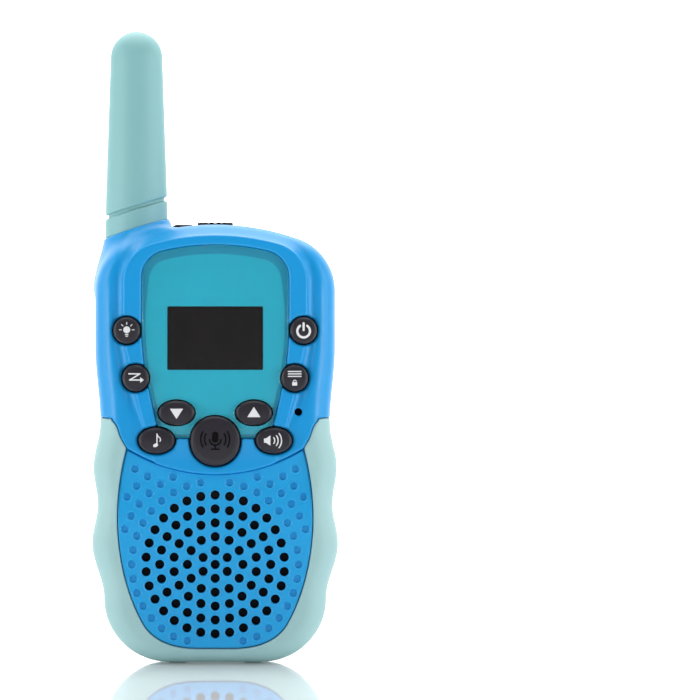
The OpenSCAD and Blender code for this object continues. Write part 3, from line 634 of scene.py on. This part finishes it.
def grille():
    s = Sheet()
    front, back = FRONT_Y, FRONT_Y + SKIN
    edge = np.array(inset(Curve(PANEL.points, 0.5).points, 0.42))
    edge = edge[PANEL.distance(edge[:, 0], edge[:, 1]) < -0.415]
    rims = [(0, front), (0.12, front + 0.03), (0.21, front + 0.1), (0.26, front + 0.22), (0.27, front + 0.4),
            (0.27, back)]
    rims = [s.loop(inset(edge, -d), y) for d, y in rims]
    for a, b in zip(rims, rims[1:]):
        s.wall(b[::-1], a[::-1])
    tops, bottoms = [], []
    holes = [(n, i) for n in range(6) for i in range(max(6 * n, 1))]
    for n, i in holes:
        a = math.radians(90 + (60 * i / n if n else 0))
        x, z = n * RING_PITCH * math.cos(a), SPEAKER_Z + n * RING_PITCH * math.sin(a)
        r = HOLE_R
        loops = [s.loop(ring(x, z, rr), y) for rr, y in (
            (r + 0.4, front), (r + 0.33, front - 0.03), (r + 0.25, front - 0.1), (r + 0.14, front - 0.1),
            (r + 0.04, front + 0.02), (r, front + 0.2), (r, back))]
        for a_, b_ in zip(loops, loops[1:]):
            s.wall(a_, b_)
        tops.append(loops[0])
        bottoms.append(loops[-1])
    for n in (6, 7, 8, 9):
        for i in range(6 * n):
            a = math.radians(90 + 60 * i / n)
            x, z = n * RING_PITCH * math.cos(a), SPEAKER_Z + n * RING_PITCH * math.sin(a)
            room = -PANEL.distance(np.array([x]), np.array([z]))[0]
            if room < 1.0 or (n == 6 and i in (0, 17, 18, 19)):  # no room, or left plain as on the object
                continue
            if room < 1.7:  # close to the rim: moved towards the middle
                x, z = x - (1.7 - room) * math.cos(a), z - (1.7 - room) * math.sin(a)
            loops = [s.loop(ring(x, z, rr), y) for rr, y in (
                (1.25, front), (1.18, front - 0.03), (1.1, front - 0.1), (1.0, front - 0.1), (0.91, front + 0.02),
                (0.88, front + 0.2), (0.85, front + 0.4), (0.79, front + 0.51), (0.68, front + 0.55))]
            for a_, b_ in zip(loops, loops[1:]):
                s.wall(a_, b_)
            s.fill([loops[-1]])
            tops.append(loops[0])
    s.fill([rims[0]] + tops)
    s.fill([rims[-1]] + bottoms, back=True)
    return s


sheet = grille()
replace(make("speaker_panel", sheet.points, sheet.faces, PANEL_BLUE, "housing", sheet.smooth),
        "speaker_grille")

# ---------------------------------------------------------------- display lens


LENS_GAP, TAB_HALF, TAB_X = 0.2, 3.1, 0.3
BEVEL_W, BEVEL_DROP, LENS_PROUD = 2.3, 0.45, 0.9
PRINT_Y = FRONT_Y + 0.47


def lens_edge(x, z):
    """Distance to the lens's outline, twice: plain, and with a tab at the top that bridges the gap to the bezel."""
    d = L(x, z) + LENS_GAP
    return d, d - 0.3 * ramp((TAB_HALF - np.abs(x - TAB_X)) / 0.5) * ramp((z - 92) / 2)


def lens(x, y, z):
    d, edge = lens_edge(x, z)
    q = np.clip((d + BEVEL_W) / BEVEL_W, 0, 1)
    f = smooth_max(edge, FRONT_Y - LENS_PROUD + BEVEL_DROP * q - y, 0.12)
    f = smooth_max(f, y - (FRONT_Y + 0.44), 0.1)
    for b in BUTTONS.values():
        f = cut(f, ellipse_distance(x, z, b, BUTTON_GAP), 0.35)
    return f


replace(sculpt("display_window", lens, steps_between(-18, 0.25 * c, 18),
               steps_between(FRONT_Y - 1.2, 0.15, FRONT_Y + 0.8), steps_between(52, 0.25 * c, 100),
               LENS_CLEAR, "housing"), "display_lens").visible_shadow = False


def border(x, y, z):
    """Band of darker teal under the lens's bevel: painted shade standing in for the shade and refraction of the bevel
    over the teal print.
    """
    d, edge = lens_edge(x, z)
    f = np.maximum(edge + 0.04, -(d + 0.8 + 1.2 * ramp((z - 82) / 14)))
    for b in BUTTONS.values():
        f = np.maximum(f, -ellipse_distance(x, z, b, BUTTON_GAP + 0.15))
    return np.maximum(f, np.abs(y - PRINT_Y) - 0.015)


# painted shade: a thin sheet of darker teal on the print, broader towards the top, where the bevel's shade falls
sculpt("display_painted_shade_band", border, steps_between(-18, 0.16 * c, 18), PRINT_Y + np.array([-0.04, -0.01, 0.01, 0.04]),
       steps_between(52, 0.16 * c, 100), TEAL_PAINTED_SHADE, "housing", 2)

# ---------------------------------------------------------------- buttons and their pictograms


def dome_y(b, x, z):
    """Depth of a button's domed top."""
    k = ((x - b[0]) / b[2]) ** 2 + ((z - b[1]) / b[3]) ** 2
    return FRONT_Y - 1.8 + 0.26 * k


def cap(key, b):
    n, points, faces = 64, [], []
    rings = [(-FLANGE, INNER_Y + 1.15), (-FLANGE, INNER_Y + 0.4), (-0.5, INNER_Y + 0.35), (0.0, INNER_Y + 0.35),
             (0.0, FRONT_Y - 0.9), (0.03, FRONT_Y - 1.02), (0.11, FRONT_Y - 1.15), (0.28, FRONT_Y - 1.32),
             (0.42, FRONT_Y - 1.44), (0.5, FRONT_Y - 1.49), (0.57, FRONT_Y - 1.5), (0.64, FRONT_Y - 1.49)]
    edge = 0.64
    rings += [(edge + (min(b[2], b[3]) - edge) * t, None) for t in (0.04, 0.12, 0.25, 0.4, 0.6, 0.8, 0.95)]
    for d, y in rings:
        for a in np.arange(n) * 2 * math.pi / n:
            x, z = b[0] + (b[2] - d) * math.cos(a), b[1] + (b[3] - d) * math.sin(a)
            points.append((x, dome_y(b, x, z) if y is None else y, z))
    for k in range(len(rings) - 1):
        faces += [(k * n + i, k * n + (i + 1) % n, (k + 1) * n + (i + 1) % n, (k + 1) * n + i) for i in range(n)]
    faces.append([(len(rings) - 1) * n + i for i in range(n)])
    # the stem that presses the silicone mat
    base = list(range(n))
    for r, y in ((1.2, INNER_Y + 1.15), (1.2, INNER_Y + 1.75)):
        at = len(points)
        points += [(b[0] + r * math.cos(a), y, b[1] + r * math.sin(a)) for a in np.arange(n) * 2 * math.pi / n]
        new = list(range(at, at + n))
        faces += [(base[(i + 1) % n], base[i], new[i], new[(i + 1) % n]) for i in range(n)]
        base = new
    faces.append(base[::-1])
    piece = make(key + "_cap", points, faces, CHARCOAL, key + "_button")
    piece.data.set_sharp_from_angle(angle=math.radians(40))
    return replace(piece, key + "_button")


def stroke(x, z, points, w):
    """Distance to a line through points, w wide, with round ends."""
    best = None
    for (x0, z0), (x1, z1) in zip(points, points[1:]):
        ex, ez = x1 - x0, z1 - z0
        t = np.clip(((x - x0) * ex + (z - z0) * ez) / (ex * ex + ez * ez), 0, 1)
        d = np.hypot(x - x0 - t * ex, z - z0 - t * ez) - w / 2
        best = d if best is None else np.minimum(best, d)
    return best


def polygon(x, z, points):
    """Distance to a convex polygon whose points run anticlockwise."""
    best = None
    for (x0, z0), (x1, z1) in zip(points, points[1:] + points[:1]):
        n = math.hypot(x1 - x0, z1 - z0)
        d = ((x - x0) * (z1 - z0) - (z - z0) * (x1 - x0)) / n
        best = d if best is None else np.maximum(best, d)
    return best


def round_arc(x, z, cx, cz, r, a0, a1, w):
    return stroke(x, z, arc(cx, cz, r, math.radians(a0), math.radians(a1), 14), w)


def tile(x, z, cx, cz, w, h, r=0.1):
    """Distance to a rounded rectangle round (cx, cz)."""
    qx, qz = np.abs(x - cx) - w / 2 + r, np.abs(z - cz) - h / 2 + r
    return np.hypot(np.maximum(qx, 0), np.maximum(qz, 0)) + np.minimum(np.maximum(qx, qz), 0) - r


def least(*parts):
    out = parts[0]
    for part in parts[1:]:
        out = np.minimum(out, part)
    return out


def power_sign(x, z):
    return least(round_arc(x, z, 0, -0.15, 1.5, 125, 415, 0.56), stroke(x, z, [(0, 0.1), (0, 1.7)], 0.56))


def zigzag_sign(x, z):
    line = stroke(x, z, [(-1.6, 1.0), (1.0, 1.0), (-1.4, -0.45), (1.3, -0.45)], 0.34)
    return least(line, polygon(x, z, [(1.05, -1.15), (1.95, -0.45), (1.05, 0.25)]))


def note_sign(x, z):
    head = ellipse_distance(x * 0.93 + z * 0.37, z * 0.93 - x * 0.37, (-0.62, -0.95, 0.62, 0.42))
    flag = stroke(x, z, [(0.15, 1.5), (0.35, 1.0), (0.85, 0.6), (0.95, 0.1), (0.8, -0.2)], 0.26)
    return least(head, stroke(x, z, [(0.1, -0.9), (0.1, 1.6)], 0.28), flag)


def up_sign(x, z):
    return polygon(x, z, [(-1.5, -0.95), (1.5, -0.95), (0, 1.35)]) - 0.05


def down_sign(x, z):
    return up_sign(x, -z)


def menu_sign(x, z):
    bars = least(*[stroke(x, z, [(-1.5, h), (1.5, h)], 0.3) for h in (1.55, 0.98, 0.4)])
    body = tile(x, z, 0, -1.35, 1.2, 0.85)
    shackle = np.maximum(np.abs(np.hypot(x, z + 0.85) - 0.36) - 0.11, -0.9 - z)
    return least(bars, body, shackle)


def lamp_sign(x, z):
    bulb = np.hypot(x, z - 0.15) - 0.82
    base = least(tile(x, z, 0, -0.95, 0.85, 0.28), tile(x, z, 0, -1.35, 0.65, 0.25))
    rays = least(*[stroke(x, z, [(1.25 * math.cos(a), 0.15 + 1.25 * math.sin(a)),
                                 (1.75 * math.cos(a), 0.15 + 1.75 * math.sin(a))], 0.22)
                   for a in np.radians([0, 45, 90, 135, 180])])
    return least(bulb, base, rays)


def monitor_sign(x, z):
    box = tile(x, z, -1.95, 0, 0.8, 1.05, 0.08)
    horn = polygon(x, z, [(-1.9, -0.48), (-0.8, -1.25), (-0.8, 1.25), (-1.9, 0.48)])
    waves = least(*[round_arc(x, z, -0.9, 0, r, -38, 38, 0.3) for r in (1.1, 1.9, 2.7)])
    return least(box, horn, waves)


def talk_sign(x, z):
    capsule = stroke(x, z, [(0, 0.35), (0, 1.45)], 1.5)
    cradle = round_arc(x, z, 0, 0.35, 1.35, 180, 360, 0.34)
    stand = least(stroke(x, z, [(0, -1.0), (0, -1.9)], 0.34), stroke(x, z, [(-0.9, -1.95), (0.9, -1.95)], 0.34))
    waves = least(*[least(round_arc(x, z, 0, 0.4, r, -32, 32, 0.34), round_arc(x, z, 0, 0.4, r, 148, 212, 0.34))
                    for r in (2.5, 3.4)])
    return least(capsule, cradle, stand, waves)


SIGNS = {"lamp": lamp_sign, "power": power_sign, "scan": zigzag_sign, "menu": menu_sign, "down": down_sign,
         "up": up_sign, "call": note_sign, "monitor": monitor_sign, "talk": talk_sign}


def inlay(key, b, proud):
    """The pictogram as a thin plate that follows the dome."""
    sign = SIGNS[key]

    def f(x, y, z):
        d = sign(x - b[0], z - b[1])
        return smooth_max(smooth_max(d, dome_y(b, x, z) - proud - y, 0.05), y - dome_y(b, x, z) - 0.25, 0.05)

    step = (0.09 if key != "talk" else 0.12) * c
    top = FRONT_Y - 1.8
    talk = key == "talk"
    # painted shade: the talk pictogram gets the near-black relief finish instead of the key's own colour
    return sculpt(key + "_pictogram", f, steps_between(b[0] - b[2], step, b[0] + b[2]),
                  steps_between(top - 0.24, 0.07, top + 0.6), steps_between(b[1] - b[3], step, b[1] + b[3]),
                  RELIEF_PAINTED_SHADE if talk else WHITE, key + "_button", 3)


for key, b in BUTTONS.items():
    cap(key, b)
    inlay(key, b, 0.14 if key == "talk" else 0.03)

# ---------------------------------------------------------------- antenna


def antenna(x, y, z):
    r = np.hypot(x - ANTENNA_X, y)
    low, tip_r = 110.0, 6.15
    top = ANTENNA_TOP - tip_r
    t = np.clip((z - low) / (top - low), 0, 1)
    radius = np.where(z > low, 7.3 - (7.3 - tip_r) * t, 7.3 + (low - z) * 0.017)
    shaft = np.where(z > top, np.hypot(r, z - top) - tip_r, r - radius)
    f = smooth_max(shaft, -slanted(x, z, 0.06), 0.35)
    groove = np.maximum(np.abs(slanted(x, z, 5.1)) - 0.42, 6.6 - r)
    f = cut(f, groove, 0.55)
    f = np.minimum(f, np.maximum(r - SPIGOT_R, np.maximum(92.2 - z, z - 106)))
    return np.maximum(f, -np.maximum(r - 4.4, z - ANTENNA_TOP + 9))


replace(sculpt("antenna_sleeve", antenna, steps_between(ANTENNA_X - 8, 0.28 * c, ANTENNA_X + 8),
               steps_between(-8, 0.28 * c, 8), steps_between(91.5, 0.28 * c, 150.6),
               SHEATH, "housing"), "antenna_sheath")

# ---------------------------------------------------------------- rear housing, door, clip and socket cover

DOOR_LO, DOOR_HI = node_box("battery_door")
HINGE_R, HINGE_Z = 0.9, 11.3
HINGE_Y = REAR_Y - HINGE_R
BAY_LO, BAY_HI, BAY_RIM = (-21.9, 0.9, 11.6), (21.9, REAR_Y + 1, 59.0), REAR_Y - 2.1
DOOR_SCREW_Z = 61.9


def rod(x, y, z, x0, z0, r, y0, y1):
    return np.maximum(np.hypot(x - x0, z - z0) - r, np.maximum(y0 - y, y - y1))


def rear_shell(x, y, z):
    f = smooth_min(rear_body(x, y, z), neck(x, y, z), 4.5)
    hollow = cut(rear_body(x, y, z, REAR_WALL), np.maximum(np.hypot(x - ANTENNA_X, y) - 7.2, 91 - z), 0.3)
    f = cut(f, hollow, 0.3)
    tray = box_distance(x, y, z, (-23.6, 0, 9.2), (23.6, BAY_RIM, 66))
    tray = np.maximum(tray, -box_distance(x, y, z, (-21.9, -1, 60.4), (21.9, BAY_RIM - 1.2, 67)))
    f = np.minimum(f, np.maximum(tray, rear_body(x, y, z, 0.3)))
    f = np.minimum(f, rod(x, y, z, 0, DOOR_SCREW_Z, 2.3, 3, BAY_RIM - 0.6))
    for x0, z0 in SCREWS:
        f = np.minimum(f, rod(x, y, z, x0, z0, 3.3, 1.2, REAR_Y - REAR_WALL + 0.2))
    rail = np.minimum(box_distance(x, y, z, (-4, REAR_Y - 0.5, 84), (4, REAR_Y + 1.5, 98), 0.1),
                      box_distance(x, y, z, (-6.5, REAR_Y + 1.4, 84), (6.5, REAR_Y + 2.8, 98), 0.4))
    f = smooth_min(f, rail, 0.4)
    seat = tile(x, z, 0, (HINGE_Z - HINGE_R + DOOR_HI[2]) / 2, 2 * DOOR_HI[0] + 0.7,
                DOOR_HI[2] - HINGE_Z + HINGE_R + 0.7, 3.35)
    f = cut(f, np.maximum(seat, BAY_RIM - y), 0.5)
    f = cut(f, box_distance(x, y, z, BAY_LO, BAY_HI, 0.6), 0.3)
    f = np.maximum(f, -rod(x, y, z, 0, DOOR_SCREW_Z, 1.2, 4, REAR_Y))
    for x0, z0 in SCREWS:
        f = cut(f, rod(x, y, z, x0, z0, 2.3, 3, REAR_Y + 1), 0.35)
        f = np.maximum(f, -(np.hypot(x - x0, z - z0) - 1.2))
    f = cut(f, top_openings(x, y, z), 0.3)
    return smooth_max(f, 0.02 - y, 0.3)


replace(sculpt("rear_housing_shell", rear_shell, steps_between(-30, 0.4 * c, 30),
               steps_between(-0.6, 0.5 * c, 10, 0.4 * c, REAR_Y + 3.4), steps_between(-0.4, 0.4 * c, 110),
               AQUA, "housing"), "rear_housing")


def door(x, y, z):
    low, high = DOOR_LO[2] + HINGE_R, DOOR_HI[2]
    plate = tile(x, z, 0, (low + high) / 2, 2 * DOOR_HI[0], high - low, 3.0)
    f = smooth_max(smooth_max(plate, y - REAR_Y, 0.5), REAR_Y - 1.8 - y, 0.2)
    barrel = np.maximum(np.hypot(y - HINGE_Y, z - HINGE_Z) - HINGE_R, np.abs(x) - DOOR_HI[0] + 3)
    f = smooth_min(f, barrel, 0.2)
    f = cut(f, rod(x, y, z, 0, DOOR_SCREW_Z, 2.3, REAR_Y - 1.05, REAR_Y + 1), 0.2)
    f = np.maximum(f, -(np.hypot(x, z - DOOR_SCREW_Z) - 1.25))
    for z0 in (49.4, 52.0, 54.6):
        scoop = stroke(x, z, [(-5.4, z0), (5.4, z0)], 1.3)
        f = cut(f, smooth_max(scoop, REAR_Y - 0.5 - y, 0.5), 0.4)
    return f


replace(sculpt("battery_door_cover", door, steps_between(-22.8, 0.4 * c, 22.8),
               steps_between(REAR_Y - 2.4, 0.3, REAR_Y + 0.4), steps_between(9.9, 0.4 * c, 64.6),
               AQUA, "battery_door"), "battery_door")

CLIP_LO, CLIP_HI = node_box("belt_clip")


def clip(x, y, z):
    top, back, hub_z = CLIP_HI[2], CLIP_HI[1], 82.6
    hub = np.maximum(REAR_Y + 0.35 - y, hub_z - z)
    shell = smooth_max(smooth_max(y - back, z - top, 5.4), np.abs(x) - CLIP_HI[0], 1.0)
    hub = smooth_max(hub, shell, 0.5)
    inner = back - 2 - 1.3 * (ramp((69.4 - z) / 2.4) - 1.1 * ramp((66.6 - z) / 2.0))
    tongue = smooth_max(smooth_max(inner - y, y - back, 0.5), CLIP_LO[2] - z, 1.6)
    tongue = smooth_max(smooth_max(tongue, z - hub_z - 3, 0.2), tile(x, z, 0, 80, 17, 2 * (80 - CLIP_LO[2]), 3.2), 0.7)
    f = smooth_min(hub, tongue, 0.9)
    for z0 in (92.2, 94.4, 96.6):
        f = cut(f, smooth_max(stroke(x, z, [(-5.5, z0), (5.5, z0)], 0.9), back - 0.45 - y, 0.4), 0.4)
    fit = 0.35
    stem = box_distance(x, y, z, (-4 - fit, REAR_Y - 1, 60), (4 + fit, REAR_Y + 2, 98 + fit), 0.1)
    head = box_distance(x, y, z, (-6.5 - fit, REAR_Y + 1.4 - fit, 60), (6.5 + fit, REAR_Y + 2.8 + fit, 98 + fit), 0.1)
    slot = np.minimum(stem, head)
    return np.maximum(f, -np.maximum(slot, hub_z - 1 - z))


replace(sculpt("belt_clip_moulding", clip, steps_between(-9.8, 0.35 * c, 9.8),
               steps_between(REAR_Y - 0.2, 0.3, CLIP_HI[1] + 0.5), steps_between(64.6, 0.35 * c, 100.7),
               BLUE, "belt_clip"), "belt_clip")


def flap(x, y, z):
    f = box_distance(x, y, z, COVER_LO, COVER_HI + (0, -0.2, 0.15), 0.45)
    for y0 in (-2.2, -1.3, -0.4):
        f = smooth_min(f, stroke(y, z, [(y0, COVER_HI[2]), (y0, COVER_HI[2] + 0.05)], 0.5)
                       + np.maximum(np.abs(x - JACK_X) - 1.9, 0), 0.3)
    return f


replace(sculpt("socket_cover", flap, steps_between(COVER_LO[0] - 0.5, 0.2 * c, COVER_HI[0] + 0.5),
               steps_between(COVER_LO[1] - 0.5, 0.2 * c, COVER_HI[1] + 0.5),
               steps_between(COVER_LO[2] - 0.4, 0.15, COVER_HI[2] + 0.8), RUBBER, "jack_cover"),
        "jack_cover")


def torch_ring(x, y, z):
    r, a = np.hypot(x, y), np.arctan2(y, x)
    bumps = 0.11 * np.cos(14 * a)
    lip = smooth_max(np.abs(r - 3.5) - 0.72, z - (CROWN_Z + 0.5 + bumps), 0.3)
    lip = smooth_max(lip, TORCH_Z - z, 0.2)
    tube = np.maximum(np.abs(r - 3.15) - 0.45, np.maximum(97 - z, z - TORCH_Z - 0.4))
    return np.minimum(lip, tube)


replace(sculpt("torch_ring", torch_ring, steps_between(-4.8, 0.2 * c, 4.8), steps_between(-4.8, 0.2 * c, 4.8),
               steps_between(96.6, 0.5, 102.4, 0.15, 104.9), BLACK, "housing"), "flashlight_bezel")

# ---------------------------------------------------------------- turned pieces: cells and microphone felt


def turned(name, profile, place, axis, material, body, n=48):
    """A closed turned piece from (radius, height) along axis 'y' or 'z', starting and ending on the axis."""
    points, faces = [], []
    for r, h in profile:
        for a in np.arange(n) * 2 * math.pi / n:
            u, w = r * math.cos(a), r * math.sin(a)
            points.append((place[0] + u, place[1] + w, place[2] + h) if axis == "z"
                          else (place[0] + w, place[1] + h, place[2] + u))
    for k in range(len(profile) - 1):
        faces += [(k * n + i, k * n + (i + 1) % n, (k + 1) * n + (i + 1) % n, (k + 1) * n + i) for i in range(n)]
    faces += [list(range(n))[::-1], [(len(profile) - 1) * n + i for i in range(n)]]
    piece = make(name, points, faces, material, body)
    piece.data.set_sharp_from_angle(angle=math.radians(35))
    return piece


cells_lo, cells_hi = node_box("battery_cells")
CELL_R, CELL_L, CELL_PITCH = 5.25, 44.5, 10.9
cell_y = (cells_lo[1] + cells_hi[1]) / 2
parts = []
for i in range(4):
    up = i % 2 == 0
    x0 = (i - 1.5) * CELL_PITCH
    base, s = (cells_hi[2] - CELL_L, 1) if up else (cells_lo[2] + CELL_L, -1)
    sleeve = [(4.1, 0.12), (4.7, 0.0), (5.0, 0.02), (5.2, 0.2), (CELL_R, 0.5), (CELL_R, 33.0)]
    band = [(4.9, 33.0), (CELL_R, 33.0), (CELL_R, 43.0), (5.18, 43.3), (4.9, 43.5), (4.4, 43.45)]
    crimp = [(4.4, 43.1), (4.45, 43.3), (2.6, 43.3), (2.3, 43.35), (1.95, 43.5), (1.9, 44.3), (1.75, 44.5), (0.6, 44.5)]
    for tag, profile, look, slot in (("sleeve", sleeve, WRAP, "cell_wrap"), ("band", band, WRAP_BAND, "cell_wrap"),
                                     ("cap", crimp, STEEL, "spring_steel")):
        profile = [(0.01, profile[0][1])] + profile + [(0.01, profile[-1][1])]
        profile = [(r, base + s * h) for r, h in profile]
        parts.append(turned(f"cell_{i + 1}_{tag}", profile if up else profile[::-1], (x0, cell_y, 0), "z", look,
                            "housing"))
replace(parts[0], "battery_cells")
turned("mic_felt", [(0.01, -11.3), (0.78, -11.3), (0.78, -10.95), (0.01, -10.95)], (MIC[0], 0, MIC[1]), "y", CLOTH,
       "housing", 24)

# ---------------------------------------------------------------- light, floor and camera


def area(name, place, aim, size, power):
    """A white softbox that the camera and the clear lens don't see."""
    data = bpy.data.lights.new(name, "AREA")
    data.shape = "RECTANGLE"
    data.size, data.size_y = size
    data.energy = power
    lamp = bpy.data.objects.new(name, data)
    lamp.location = place
    lamp.visible_camera = lamp.visible_transmission = False
    lamp.rotation_euler = (Vector(aim) - Vector(place)).to_track_quat("-Z", "Y").to_euler()
    bpy.context.scene.collection.objects.link(lamp)


def sheet_mesh(name, corners, material):
    """A flat part of the studio, which isn't part of the object."""
    mesh = bpy.data.meshes.new(name)
    mesh.from_pydata(corners, [], [(0, 1, 2, 3)])
    mesh.materials.append(material)
    sheet = bpy.data.objects.new(name, mesh)
    bpy.context.scene.collection.objects.link(sheet)


scene = bpy.context.scene
scene.view_settings.view_transform = "Standard"
world = bpy.data.worlds.new("studio")
world.use_nodes = True
world.node_tree.nodes["Background"].inputs["Color"].default_value = (1, 1, 1, 1)
world.node_tree.nodes["Background"].inputs["Strength"].default_value = 0.18
scene.world = world

GLOW = (1, 1, 1, 1)
FLOOR = finish_of("white_floor", (236, 238, 239), 0.03, Emission_Color=GLOW, Emission_Strength=0.1)
BACKDROP = finish_of("white_backdrop", (250, 250, 250), 0.8, Emission_Color=GLOW, Emission_Strength=1.25)
SIDE_WALL = finish_of("pale_side_wall", (150, 150, 150), 0.8, Emission_Color=GLOW, Emission_Strength=0.62)
WALL_AT, WALL_TOP, WALL_FRONT = 2.6, 3, -1.0
sheet_mesh("floor", [(-5, -5, 0), (5, -5, 0), (5, 5, 0), (-5, 5, 0)], FLOOR)
w, h = WALL_AT, WALL_TOP
sheet_mesh("backdrop", [(-w, w, 0), (w, w, 0), (w, w, h), (-w, w, h)], BACKDROP)
for side in (-1, 1):
    x = side * w
    sheet_mesh(f"side_wall_{side + 2}", [(x, WALL_FRONT, 0), (x, w, 0), (x, w, h), (x, WALL_FRONT, h)], SIDE_WALL)
area("left_softbox", (-0.75, -0.19, 0.24), (0, 0, 0.06), (0.5, 0.7), 1.9)
area("right_softbox", (0.75, -0.19, 0.24), (0, 0, 0.06), (0.5, 0.7), 1.9)
area("front_softbox", (0, -0.5, 0.8), (0, 0, 0.07), (0.8, 0.5), 1.15)
area("left_fill", (-0.56, -0.44, 0.05), (0, 0, 0.01), (0.28, 0.1), 0.85)
area("right_fill", (0.56, -0.44, 0.05), (0, 0, 0.01), (0.28, 0.1), 0.85)
area("top_softbox", (0, 0.22, 0.85), (0, 0, 0.09), (1.0, 0.9), 9.2)

DISTANCE, PHOTO_WIDTH = 1.2, 0.16485
camera = bpy.data.objects.new("camera", bpy.data.cameras.new("camera"))
camera.data.sensor_width = 36
camera.data.lens = 36 * DISTANCE / PHOTO_WIDTH
camera.data.shift_x = 0.1926
camera.location = (0, FRONT_Y * MM + PARTING_Y * MM - DISTANCE, 0.0742)
camera.rotation_euler = (math.radians(90), 0, 0)
camera.data.clip_start, camera.data.clip_end = 0.05, 30
scene.collection.objects.link(camera)
scene.camera = camera
